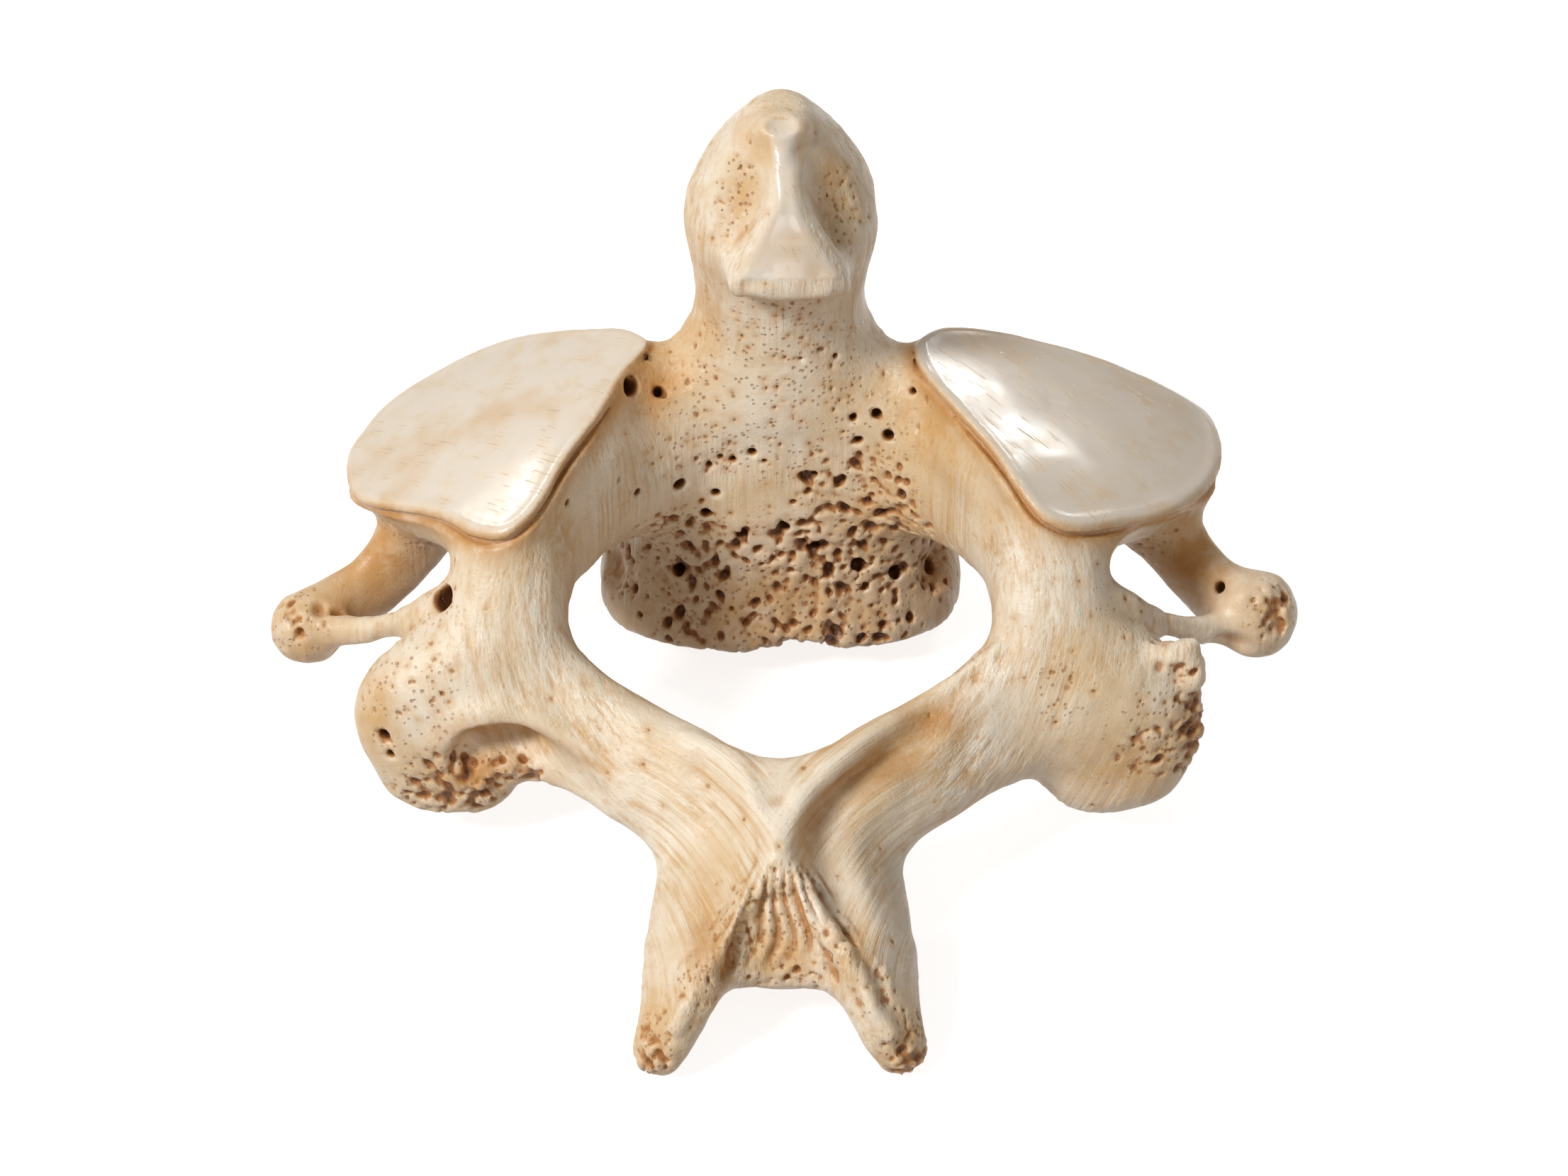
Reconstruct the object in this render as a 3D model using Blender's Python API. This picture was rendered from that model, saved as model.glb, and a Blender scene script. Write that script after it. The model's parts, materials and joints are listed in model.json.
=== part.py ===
"""Axis vertebra (second neck vertebra) of an adult human, life size, lying on its underside.

+X is the bone's right side, +Y its front, +Z up.  The floor is z = 0 and the origin is under the
middle of the bone.  The bone is modelled whole from closed forms, fused and softened, and then
parted by thin cuts into the parts that an anatomist names.
"""

from math import cos, pi, radians, sin

import bmesh
import bpy
import numpy as np
from mathutils import Matrix, Vector

MM = 0.001

# Driving sizes of the bone, in millimetres
HEIGHT = 37.6
BODY_HALF_WIDTH = 10.7
BODY_BACK = 7.8
BODY_FRONT = 22.0
BODY_BACK_LIFT = 2.2
DENS_HALF_WIDTH = 5.5
DENS_HALF_DEPTH = 5.2
DENS_MIDDLE = 15.2
SPINE_TIP_OUT = 7.1
SPINE_TIP_BACK = -22.4

# How the fused bone is meshed and softened
VOXEL = 0.5
FILLET = 1.0
SOFTEN_STEPS = 3
CUT = 0.3
TRIANGLES = 11000
SHARP_ANGLE = 50
FLOOR_BLOCK = 100

BONE_COLOUR = (0.80, 0.70, 0.55, 1)
BONE_ROUGHNESS = 0.45

LEFT, RIGHT = -1, 1
SIDE_NAMES = {LEFT: "left", RIGHT: "right"}


class Station:
    """One cross-section of a limb: its centre, the way its broad side runs, and its half sizes."""

    def __init__(self, at, broad, breadth, thickness):
        self.values = np.array([*at, *broad, breadth, thickness], float)


def smooth_through(rows, steps):
    """Rows of numbers carried smoothly through the given ones, by Catmull-Rom."""
    rows = np.vstack([2 * rows[0] - rows[1], rows, 2 * rows[-1] - rows[-2]])
    out = []
    for a, b, c, d in zip(rows, rows[1:], rows[2:], rows[3:]):
        for t in np.arange(steps) / steps:
            out.append(
                0.5 * (2 * b + (c - a) * t + (2 * a - 5 * b + 4 * c - d) * t**2 + (3 * b - a - 3 * c + d) * t**3)
            )
    out.append(rows[-2])
    return np.array(out)


def mesh_object(name, points, faces, group):
    """A new object of these points, in millimetres, and faces, all facing out."""
    mesh = bpy.data.meshes.new(name)
    mesh.from_pydata([tuple(p) for p in np.asarray(points) * MM], [], faces)
    work = bmesh.new()
    work.from_mesh(mesh)
    bmesh.ops.recalc_face_normals(work, faces=work.faces)
    work.to_mesh(mesh)
    work.free()
    piece = bpy.data.objects.new(name, mesh)
    group.objects.link(piece)
    return piece


def skin_rings(rings):
    """Faces between rings of equal length, closed by a fan at each end.  The poles come last."""
    count, sides = len(rings), len(rings[0])
    faces = []
    for k in range(count - 1):
        for i in range(sides):
            j = (i + 1) % sides
            faces.append((k * sides + i, k * sides + j, (k + 1) * sides + j, (k + 1) * sides + i))
    first, last = count * sides, count * sides + 1
    for i in range(sides):
        j = (i + 1) % sides
        faces.append((first, j, i))
        faces.append((last, (count - 1) * sides + i, (count - 1) * sides + j))
    return faces


def limb(name, stations, group, sides=24, steps=5, power=2.2, caps=(None, None)):
    """A closed tube through the stations, with superelliptic sections and domed ends.

    A cap is how far a dome stands past its station, and None makes it as long as the tube is thick.
    """
    rows = smooth_through(np.array([s.values for s in stations]), steps)
    at, broad, breadth, thickness = rows[:, :3], rows[:, 3:6], rows[:, 6], rows[:, 7]
    run = np.gradient(at, axis=0)
    run /= np.linalg.norm(run, axis=1)[:, None]
    flat = np.cross(run, broad)
    flat /= np.linalg.norm(flat, axis=1)[:, None]
    broad = np.cross(flat, run)
    angles = np.arange(sides) * 2 * pi / sides
    across = np.sign(np.cos(angles)) * np.abs(np.cos(angles)) ** (2 / power)
    through = np.sign(np.sin(angles)) * np.abs(np.sin(angles)) ** (2 / power)

    def ring(k, scale=1.0, push=0.0):
        return (
            at[k]
            + push * run[k]
            + scale * breadth[k] * across[:, None] * broad[k]
            + scale * thickness[k] * through[:, None] * flat[k]
        )

    start = thickness[0] if caps[0] is None else caps[0]
    end = thickness[-1] if caps[1] is None else caps[1]
    dome = [radians(a) for a in (72, 48, 24)]
    rings = [ring(0, cos(a), -start * sin(a)) for a in dome]
    rings += [ring(k) for k in range(len(at))]
    rings += [ring(-1, cos(a), end * sin(a)) for a in reversed(dome)]
    poles = [at[0] - start * run[0], at[-1] + end * run[-1]]
    points = np.vstack([*rings, *poles])
    return mesh_object(name, points, skin_rings(rings), group)


def ball(name, centre, radii, group, turn=(0, 0, 0)):
    """An ellipsoid with these radii, turned by degrees about X, Y and Z."""
    work = bmesh.new()
    bmesh.ops.create_uvsphere(work, u_segments=24, v_segments=14, radius=1)
    spin = Matrix.Rotation(radians(turn[2]), 4, "Z")
    spin = spin @ Matrix.Rotation(radians(turn[1]), 4, "Y") @ Matrix.Rotation(radians(turn[0]), 4, "X")
    size = Matrix.Diagonal(Vector((*radii, 1)))
    bmesh.ops.transform(work, matrix=Matrix.Translation(Vector(centre)) @ spin @ size, verts=work.verts)
    mesh = bpy.data.meshes.new(name)
    work.to_mesh(mesh)
    work.free()
    mesh.transform(Matrix.Scale(MM, 4))
    piece = bpy.data.objects.new(name, mesh)
    group.objects.link(piece)
    return piece


def plate(name, outline, top, depth, group, steps=4):
    """A smooth-edged plate under the surface top(x, y), within a closed plan outline."""
    loop = np.array(outline, float)
    rows = smooth_through(np.vstack([loop[-2:], loop, loop[:3]]), steps)
    rows = rows[2 * steps : (2 + len(loop)) * steps]
    middle = rows.mean(axis=0)
    levels = [(0.3, 0.0), (0.6, 0.0), (0.85, 0.0), (0.96, 0.04), (1.0, 0.35), (0.97, 0.8), (0.7, 1.0), (0.3, 1.0)]
    rings = []
    for scale, drop in levels:
        plan = middle + scale * (rows - middle)
        height = np.array([top(x, y) for x, y in plan]) - drop * depth
        rings.append(np.column_stack([plan, height]))
    poles = [(*middle, top(*middle)), (*middle, top(*middle) - depth)]
    points = np.vstack([*rings, *poles])
    return mesh_object(name, points, skin_rings(rings), group)


# The way each broad side runs
ACROSS = (1, 0, 0)


def body_and_dens(group):
    """The vertebral body, waisted above its rim, and the tooth-like dens that stands on it."""
    middle = (BODY_BACK + BODY_FRONT) / 2
    half_depth = (BODY_FRONT - BODY_BACK) / 2
    rim = BODY_BACK_LIFT / 2 + 0.1
    limb(
        "centrum_core",
        [
            Station((0, middle - 0.1, rim), ACROSS, BODY_HALF_WIDTH, half_depth),
            Station((0, middle + 0.4, rim + 2.6), ACROSS, BODY_HALF_WIDTH - 0.1, half_depth - 0.4),
            Station((0, middle + 0.5, 8.0), ACROSS, 9.5, half_depth - 1.3),
            Station((0, middle + 0.3, 12.6), ACROSS, 9.0, half_depth - 1.5),
            Station((0, middle + 0.1, 16.2), ACROSS, 7.6, half_depth - 2.0),
            Station((0, middle, 19.0), ACROSS, 6.2, half_depth - 2.6),
        ],
        group,
        sides=32,
        power=2.5,
        caps=(0.6, 1.0),
    )
    limb(
        "back_wall",
        [
            Station((-9.6, 11.6, 17.0), (0, 0, 1), 3.6, 2.0),
            Station((0, 12.4, 17.2), (0, 0, 1), 3.6, 2.2),
            Station((9.6, 11.6, 17.0), (0, 0, 1), 3.6, 2.0),
        ],
        group,
    )
    limb(
        "dens_core",
        [
            Station((0, 14.0, 17.6), ACROSS, 7.8, 4.2),
            Station((0, 14.4, 20.2), ACROSS, 6.4, 4.4),
            Station((0, DENS_MIDDLE - 0.2, 23.2), ACROSS, 4.9, 4.6),
            Station((0, DENS_MIDDLE, 26.0), ACROSS, 4.9, 4.8),
            Station((0.05, DENS_MIDDLE, 29.6), ACROSS, DENS_HALF_WIDTH, DENS_HALF_DEPTH),
            Station((0.05, DENS_MIDDLE, 32.4), ACROSS, 4.9, 4.8),
            Station((0, DENS_MIDDLE - 0.1, 34.8), ACROSS, 3.5, 3.8),
            Station((0, DENS_MIDDLE - 0.2, HEIGHT - 1.0), ACROSS, 2.2, 2.4),
        ],
        group,
        sides=28,
        power=2.1,
        caps=(1.0, 1.2),
    )
    limb(
        "ligament_facet",
        [
            Station((0.2, 11.6, 35.4), ACROSS, 0.9, 0.9),
            Station((0.4, 10.6, 33.6), ACROSS, 1.6, 1.2),
            Station((0.6, 9.6, 31.4), ACROSS, 2.9, 1.3),
            Station((0.6, 8.9, 29.6), ACROSS, 3.6, 1.3),
        ],
        group,
        power=2.8,
        caps=(0.9, 0.7),
    )
    limb(
        "apex_ridge",
        [
            Station((0.2, 11.4, 34.6), ACROSS, 1.0, 1.0),
            Station((0.0, 12.4, 36.2), ACROSS, 1.0, 1.0),
            Station((-0.1, 14.4, HEIGHT - 0.8), ACROSS, 1.6, 1.0),
        ],
        group,
    )
    ball("front_facet", (0, 18.9, 30.0), (3.9, 1.9, 4.6), group, turn=(-4, 0, 0))


FACET_OUTLINES = {
    LEFT: [(7.4, 13.0), (8.2, 14.9), (11.2, 16.6), (15.9, 17.7), (19.4, 17.1), (22.8, 15.3), (24.9, 12.2),
           (24.8, 8.4), (22.9, 6.0), (19.0, 3.2), (16.6, 0.9), (14.4, 0.3), (12.4, 2.2), (11.0, 5.2), (8.8, 9.8)],
    RIGHT: [(7.4, 12.8), (8.7, 15.4), (12.9, 17.0), (17.0, 17.4), (21.3, 17.0), (24.4, 15.9), (25.7, 13.0),
            (25.2, 9.6), (23.4, 6.6), (20.2, 3.6), (16.6, 1.0), (14.2, 0.9), (12.4, 3.2), (10.6, 6.4), (8.4, 9.8)],
}
FACET_TOP = 22.8
FACET_SLOPE = 0.40


def facet_height(out, y):
    """Height of the upper joint face, which slopes down outwards and is gently domed."""
    return FACET_TOP - FACET_SLOPE * (out - 7.5) + 0.5 - 0.009 * (out - 15.5) ** 2 - 0.012 * (y - 8.6) ** 2


def lateral_mass(side, group):
    """The upper joint face with the bone under it, and the pedicle that ties it to the body."""
    tag = SIDE_NAMES[side]
    outline = [(side * out, y) for out, y in FACET_OUTLINES[side]]
    plate(f"facet_plate_{tag}", outline, lambda x, y: facet_height(side * x, y), 2.0, group)
    ball(f"mass_{tag}", (side * 15.6, 9.6, 16.4), (7.6, 6.2, 3.4), group, turn=(0, side * 20, side * 8))
    limb(
        f"pedicle_core_{tag}",
        [
            Station((side * 6.5, 12.6, 14.6), (0, 0, 1), 5.2, 3.2),
            Station((side * 10.5, 9.8, 14.8), (0, 0, 1), 4.6, 3.0),
            Station((side * 13.6, 5.4, 14.6), (0, 0, 1), 4.4, 2.8),
            Station((side * 15.0, 1.8, 13.6), (0, 0.2, 1), 4.2, 3.2),
        ],
        group,
    )


def articular_pillar(side, group):
    """The pars below the upper joint face, swelling to the lower articular process."""
    tag = SIDE_NAMES[side]
    limb(
        f"pillar_core_{tag}",
        [
            Station((side * 15.2, 3.0, 16.0), ACROSS, 3.2, 3.0),
            Station((side * 15.2, 0.2, 13.0), ACROSS, 3.5, 3.0),
            Station((side * 16.4, -1.6, 10.2), ACROSS, 5.0, 3.0),
            Station((side * 18.3, -2.4, 7.2), ACROSS, 5.9, 2.9),
            Station((side * 18.8, -3.3, 4.4), ACROSS, 4.2, 2.3),
        ],
        group,
        power=2.4,
        caps=(None, 2.4),
    )
    ball(f"lower_joint_{tag}", (side * 18.0, 0.2, 5.9), (5.3, 4.4, 2.5), group, turn=(38, 0, 0))
    ball(f"shoulder_{tag}", (side * 20.7, -1.2, 9.2), (2.4, 2.2, 2.2), group)
    if side == RIGHT:
        ball("outer_spur", (22.6, -2.0, 9.6), (1.2, 1.3, 1.3), group)


def lamina(side, group):
    """The broad plate that closes the canal behind, from the pillar to the midline."""
    tag = SIDE_NAMES[side]
    limb(
        f"lamina_core_{tag}",
        [
            Station((side * 14.4, -2.2, 9.2), (0, 0.5, 0.87), 4.6, 2.3),
            Station((side * 10.4, -4.8, 8.6), (0, 0.62, 0.78), 3.6, 1.9),
            Station((side * 6.4, -7.6, 8.2), (0.1 * side, 0.68, 0.73), 3.7, 1.8),
            Station((side * 2.6, -10.4, 8.2), (0.4 * side, 0.68, 0.65), 3.7, 1.8),
            Station((0, -11.6, 8.2), (0.5 * side, 0.68, 0.6), 3.4, 1.8),
        ],
        group,
        power=2.4,
    )


def spinous_process(group):
    """The forked process behind the arch: one crest that parts into two, each with its flange, and a web."""
    limb(
        "crest",
        [
            Station((0, -9.6, 9.8), ACROSS, 1.6, 1.2),
            Station((0, -12.0, 9.6), ACROSS, 1.2, 1.3),
            Station((0, -14.6, 8.4), ACROSS, 1.6, 1.3),
        ],
        group,
    )
    for side in (LEFT, RIGHT):
        lean = (side * 0.70, 0.1, -0.70)
        limb(
            f"flange_{SIDE_NAMES[side]}",
            [
                Station((side * 3.2, -9.8, 7.2), lean, 4.6, 1.8),
                Station((side * 3.9, -13.4, 6.0), lean, 4.2, 1.6),
                Station((side * 4.8, -17.2, 4.6), lean, 3.8, 1.6),
                Station((side * 5.8, -20.2, 2.9), lean, 2.6, 1.5),
                Station((side * (SPINE_TIP_OUT - 0.3), SPINE_TIP_BACK + 0.5, 0.9), lean, 1.5, 1.4),
            ],
            group,
            power=2.3,
            caps=(None, 1.0),
        )
        limb(
            f"ridge_{SIDE_NAMES[side]}",
            [
                Station((0, -13.6, 8.8), ACROSS, 1.1, 1.2),
                Station((side * 1.4, -16.0, 7.4), ACROSS, 1.0, 1.1),
                Station((side * 3.2, -18.6, 5.4), ACROSS, 1.1, 1.1),
                Station((side * 5.4, -21.0, 3.2), ACROSS, 1.2, 1.2),
            ],
            group,
        )
    limb(
        "fork_web",
        [
            Station((0, -8.8, 8.4), ACROSS, 3.0, 2.0),
            Station((0, -13.0, 7.2), ACROSS, 2.6, 2.0),
            Station((0, -16.4, 5.2), ACROSS, 3.0, 1.8),
            Station((0, -18.2, 3.6), ACROSS, 3.6, 1.3),
        ],
        group,
        caps=(None, 0.7),
    )


KNOBS = {
    LEFT: ((-27.0, 5.2, 7.6), (2.3, 2.3, 2.4)),
    RIGHT: ((27.1, 5.3, 8.6), (2.6, 2.4, 3.0)),
}
ROOT_DROP = {LEFT: 0.7, RIGHT: 0.0}


def transverse_process(side, group):
    """The front root and the knob.  The slim back bar is added after the fused bone is filleted."""
    tag = SIDE_NAMES[side]
    drop = ROOT_DROP[side]
    limb(
        f"front_root_{tag}",
        [
            Station((side * 18.6, 10.0, 14.4), (side * 0.6, 0, 0.8), 2.6, 1.5),
            Station((side * (21.4 - drop), 8.8, 12.2 - drop), (side * 0.55, 0.1, 0.8), 2.3, 1.3),
            Station((side * (24.0 - drop), 7.6, 9.4 - drop), (side * 0.5, 0.1, 0.8), 2.1, 1.3),
            Station((side * 26.0, 6.0, 8.1), (side * 0.4, 0.1, 0.9), 2.0, 1.5),
        ],
        group,
    )
    centre, radii = KNOBS[side]
    ball(f"knob_{tag}", centre, radii, group)


def back_bar(side, group):
    """The thin bar behind the transverse foramen, from the knob to the pars."""
    limb(
        f"back_bar_{SIDE_NAMES[side]}",
        [
            Station((side * 26.2, 4.6, 8.2), (0, 0, 1), 1.3, 1.2),
            Station((side * 23.6, 3.2, 9.3), (0, 0, 1), 0.85, 0.75),
            Station((side * 21.0, 2.0, 11.2), (0, 0, 1), 0.85, 0.75),
            Station((side * 18.6, 1.1, 13.1), (0, 0, 1), 1.4, 1.1),
            Station((side * 17.0, 0.6, 13.6), (0, 0, 1), 2.0, 1.2),
        ],
        group,
    )


def modified(piece, *settings):
    """The piece's mesh after these modifiers, each given as a type and its values."""
    for kind, values in settings:
        modifier = piece.modifiers.new(kind.lower(), kind)
        for key, value in values.items():
            setattr(modifier, key, value)
    graph = bpy.context.evaluated_depsgraph_get()
    mesh = bpy.data.meshes.new_from_object(piece.evaluated_get(graph))
    piece.modifiers.clear()
    piece.data = mesh
    return piece


def remesh(size):
    return ("REMESH", {"mode": "VOXEL", "voxel_size": size * MM})


def swell(amount):
    return ("DISPLACE", {"strength": amount * MM, "mid_level": 0.0})


def soften(steps, factor=0.5):
    return ("SMOOTH", {"factor": factor, "iterations": steps})


def with_group(operation, group, solver="MANIFOLD"):
    values = {"operation": operation, "operand_type": "COLLECTION", "collection": group, "solver": solver}
    return ("BOOLEAN", values)


def new_group(name):
    group = bpy.data.collections.new(name)
    bpy.context.scene.collection.children.link(group)
    return group


def clear_group(group):
    for piece in list(group.objects):
        bpy.data.objects.remove(piece)
    bpy.data.collections.remove(group)


def joined(name, base, group):
    """One closed body: the base with every form of the group, which is then removed."""
    base.name = name
    for owner in list(base.users_collection):
        owner.objects.unlink(base)
    bpy.context.scene.collection.objects.link(base)
    modified(base, with_group("UNION", group))
    clear_group(group)
    return base


def block(name, centre, frame, reach, group):
    """A box about its centre, with its half sizes along the three directions of a frame."""
    turn = Matrix(frame).transposed().to_4x4()
    work = bmesh.new()
    bmesh.ops.create_cube(work, size=2)
    size = Matrix.Diagonal(Vector((*reach, 1)))
    bmesh.ops.transform(work, matrix=Matrix.Translation(Vector(centre)) @ turn @ size, verts=work.verts)
    mesh = bpy.data.meshes.new(name)
    work.to_mesh(mesh)
    work.free()
    mesh.transform(Matrix.Scale(MM, 4))
    piece = bpy.data.objects.new(name, mesh)
    group.objects.link(piece)
    return piece


def frame_of(normal, along):
    """Three directions at right angles: one near along, one across both, and the normal."""
    normal = Vector(normal).normalized()
    other = normal.cross(Vector(along)).normalized()
    return other.cross(normal), other, normal


def slab(name, centre, normal, along, reach, group):
    """A thin box that cuts across: its normal, one direction in its plane, and its half sizes there."""
    block(name, centre, frame_of(normal, along), (*reach, CUT / 2), group)


def hollows(group):
    """What is carved from the fused bone: the endplate, the canal and the groove under the fork."""
    ball("endplate", (0, 15.0, -1.0), (8.6, 5.6, 3.0), group, turn=(-10, 0, 0))
    ball("rim_notch", (0.9, 7.0, 0.8), (4.2, 3.4, 2.7), group)
    for side in (LEFT, RIGHT):
        ball(f"front_hollow_{SIDE_NAMES[side]}", (side * 4.8, 22.8, 9.0), (3.2, 2.6, 6.0), group)
    for side in (LEFT, RIGHT):
        ball(f"scoop_{SIDE_NAMES[side]}", (side * 8.6, -14.6, 12.8), (4.6, 7.5, 4.8), group, turn=(20, 0, side * 12))
    limb(
        "fork_groove",
        [
            Station((0, -8.0, 1.5), ACROSS, 3.4, 2.4),
            Station((0, -14.0, 0.2), ACROSS, 3.0, 2.6),
            Station((0, -21.0, -2.2), ACROSS, 3.2, 2.6),
        ],
        group,
    )


def parting_cuts(group):
    """Thin slabs across the places where one named part of the bone passes into the next."""
    slab("dens_cut", (0, 14.5, 22.8), (0, 0, 1), (1, 0, 0), (6.4, 7.0), group)
    slab("midline_cut", (0, -9.0, 10.0), (1, 0, 0), (0, 1, 0), (5.5, 6.5), group)
    slab("spine_cut", (0, -12.8, 7.0), (0, 0.89, 0.45), (1, 0, 0), (10.5, 6.0), group)
    for side in (LEFT, RIGHT):
        tag = SIDE_NAMES[side]
        slab(f"body_cut_{tag}", (side * 8.8, 12.0, 16.6), (side * 0.974, 0, 0.227), (0, 1, 0), (10.0, 8.2), group)
        slab(f"pars_cut_{tag}", (side * 16.0, 1.6, 11.9), (0, 0.5, 0.866), (1, 0, 0), (7.2, 6.0), group)
        slab(f"lamina_cut_{tag}", (side * 12.4, -3.4, 9.8), (side * 0.9, 0.44, 0), (0, 0, 1), (7.0, 4.6), group)


# The transverse process is what lies outside one plane and above another: a point and the normal of each
PROCESS_PLANES = (
    ((22.66, 8.16, 11.27), (0.75, -0.12, -0.65)),
    ((22.0, 2.5, 8.9), (0.5, 0.5, 0.7)),
)
PROCESS_REACH = 9.0


def process_region(side, shrink, group):
    """The wedge that holds a transverse process, with its two inner faces moved out by shrink."""
    blocks = []
    for k, (point, normal) in enumerate(PROCESS_PLANES):
        frame = frame_of((side * normal[0], *normal[1:]), (0, 1, 0))
        centre = Vector((side * point[0], *point[1:])) + (PROCESS_REACH + shrink) * frame[2]
        blocks.append(block(f"process_block_{k}", centre, frame, (PROCESS_REACH,) * 3, group))
    overlap = {"operation": "INTERSECT", "object": blocks[1], "solver": "MANIFOLD"}
    modified(blocks[0], ("BOOLEAN", overlap))
    bpy.data.objects.remove(blocks[1])


ANCHORS = {
    "centrum": (0, 15, 9),
    "dens": (0, 15, 30),
    "spinous_process": (0, -17, 6),
}
SIDE_ANCHORS = {
    "lateral_mass": (15, 8, 16),
    "articular_process": (18, -1.5, 8),
    "lamina": (6, -8, 9),
}


def part_anchors():
    anchors = dict(ANCHORS)
    for name, (out, y, z) in SIDE_ANCHORS.items():
        for side in (LEFT, RIGHT):
            anchors[f"{name}_{SIDE_NAMES[side]}"] = (side * out, y, z)
    return anchors


def connected_shells(mesh):
    """The mesh's separate surfaces, each as (centre, volume, points, faces)."""
    work = bmesh.new()
    work.from_mesh(mesh)
    work.verts.ensure_lookup_table()
    seen = set()
    shells = []
    for vert in work.verts:
        if vert.index in seen:
            continue
        stack, found = [vert], []
        seen.add(vert.index)
        while stack:
            v = stack.pop()
            found.append(v)
            for edge in v.link_edges:
                other = edge.other_vert(v)
                if other.index not in seen:
                    seen.add(other.index)
                    stack.append(other)
        index = {v.index: k for k, v in enumerate(found)}
        faces = {f for v in found for f in v.link_faces}
        faces = [[index[v.index] for v in f.verts] for f in faces]
        points = np.array([v.co for v in found])
        corners = [points[f[:3]] for f in faces]
        volume = sum(np.dot(a, np.cross(b, c)) for a, b, c in corners) / 6
        shells.append((points.mean(axis=0) / MM, volume, points, faces))
    work.free()
    return shells


def bone_finish(name):
    finish = bpy.data.materials.new(name)
    finish.use_nodes = True
    shader = finish.node_tree.nodes["Principled BSDF"]
    shader.inputs["Base Color"].default_value = BONE_COLOUR
    shader.inputs["Roughness"].default_value = BONE_ROUGHNESS
    shader.inputs["Metallic"].default_value = 0.0
    return finish


def largest_shell(mesh):
    return max(connected_shells(mesh), key=lambda shell: shell[1])


def add_node(name, points, faces):
    mesh = bpy.data.meshes.new(name)
    mesh.from_pydata([tuple(p) for p in points], [], faces)
    mesh.shade_smooth()
    mesh.set_sharp_from_angle(angle=radians(SHARP_ANGLE))
    mesh.materials.append(bone_finish(f"{name}_bone"))
    bpy.context.scene.collection.objects.link(bpy.data.objects.new(name, mesh))


def take_transverse_process(bone, side):
    """Makes the transverse process its own node and leaves the rest of the bone."""
    name = f"transverse_process_{SIDE_NAMES[side]}"
    taken = bpy.data.objects.new(name + "_taken", bone.data.copy())
    bpy.context.scene.collection.objects.link(taken)
    for piece, operation, shrink in ((taken, "INTERSECT", CUT), (bone, "DIFFERENCE", 0.0)):
        region = new_group("region")
        process_region(side, shrink, region)
        modified(piece, with_group(operation, region), ("TRIANGULATE", {}))
        clear_group(region)
    _, _, points, faces = largest_shell(taken.data)
    bpy.data.objects.remove(taken)
    add_node(name, points, faces)


def part_out(bone):
    """Cuts the fused bone into its named parts, each one closed body."""
    for side in (LEFT, RIGHT):
        take_transverse_process(bone, side)
    cuts = new_group("parting_cuts")
    parting_cuts(cuts)
    modified(bone, with_group("DIFFERENCE", cuts), ("TRIANGULATE", {}))
    clear_group(cuts)
    anchors = part_anchors()
    largest = {}
    for centre, volume, points, faces in connected_shells(bone.data):
        name = min(anchors, key=lambda n: np.linalg.norm(centre - np.array(anchors[n])))
        if name not in largest or volume > largest[name][0]:
            largest[name] = (volume, points, faces)
    bpy.data.objects.remove(bone)
    for name, (_, points, faces) in sorted(largest.items()):
        add_node(name, points, faces)


def whole_bone():
    forms = new_group("bone_forms")
    body_and_dens(forms)
    spinous_process(forms)
    for side in (LEFT, RIGHT):
        lateral_mass(side, forms)
        articular_pillar(side, forms)
        lamina(side, forms)
        transverse_process(side, forms)
    base = forms.objects["centrum_core"]
    forms.objects.unlink(base)
    bone = joined("bone", base, forms)
    modified(bone, remesh(VOXEL), swell(FILLET), remesh(VOXEL), swell(-FILLET), remesh(VOXEL))
    bars = new_group("bars")
    for side in (LEFT, RIGHT):
        back_bar(side, bars)
    joined("bone", bone, bars)
    carving = new_group("carving")
    hollows(carving)
    modified(bone, with_group("DIFFERENCE", carving), remesh(VOXEL), soften(SOFTEN_STEPS))
    clear_group(carving)
    return bone


def rest_flats(bone):
    """Trims the bone where it touches the floor, so that it rests on small flats at one level."""
    floor = new_group("floor_trim")
    half = FLOOR_BLOCK / 2
    block("floor", (0, 0, -half), frame_of((0, 0, 1), (1, 0, 0)), (half, half, half), floor)
    modified(bone, with_group("DIFFERENCE", floor))
    clear_group(floor)


def centre_over_origin():
    """Moves every part so that the origin is on the floor under the middle of the whole bone."""
    parts = list(bpy.data.objects)
    corners = np.array([v.co for part in parts for v in part.data.vertices])
    middle = (corners.min(axis=0) + corners.max(axis=0)) / 2
    for part in parts:
        part.data.transform(Matrix.Translation((-middle[0], -middle[1], 0)))
    print("moved by, in mm", -middle[:2] / MM)


def main():
    for leftover in list(bpy.data.objects):
        bpy.data.objects.remove(leftover)
    bone = whole_bone()
    faces = sum(len(f.vertices) - 2 for f in bone.data.polygons)
    modified(bone, ("TRIANGULATE", {}), ("DECIMATE", {"ratio": TRIANGLES / faces}))
    rest_flats(bone)
    part_out(bone)
    centre_over_origin()


main()
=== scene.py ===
# %% [markdown]
# # Axis vertebra
# The object is the second neck vertebra of an adult, a dry bone that lies on a pale table.  Its solids
# come as eleven plain parts with thin cuts between them, as an anatomist would name them.  A real bone
# has no seams, so this lesson turns the parts into one block of voxels, works that block like clay,
# and peels one fine skin from it.

# %% Load the solids
import json
from math import radians

import bmesh
import bpy
import numpy as np
import openvdb
from mathutils import Euler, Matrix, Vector
from mathutils.geometry import tessellate_polygon

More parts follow.
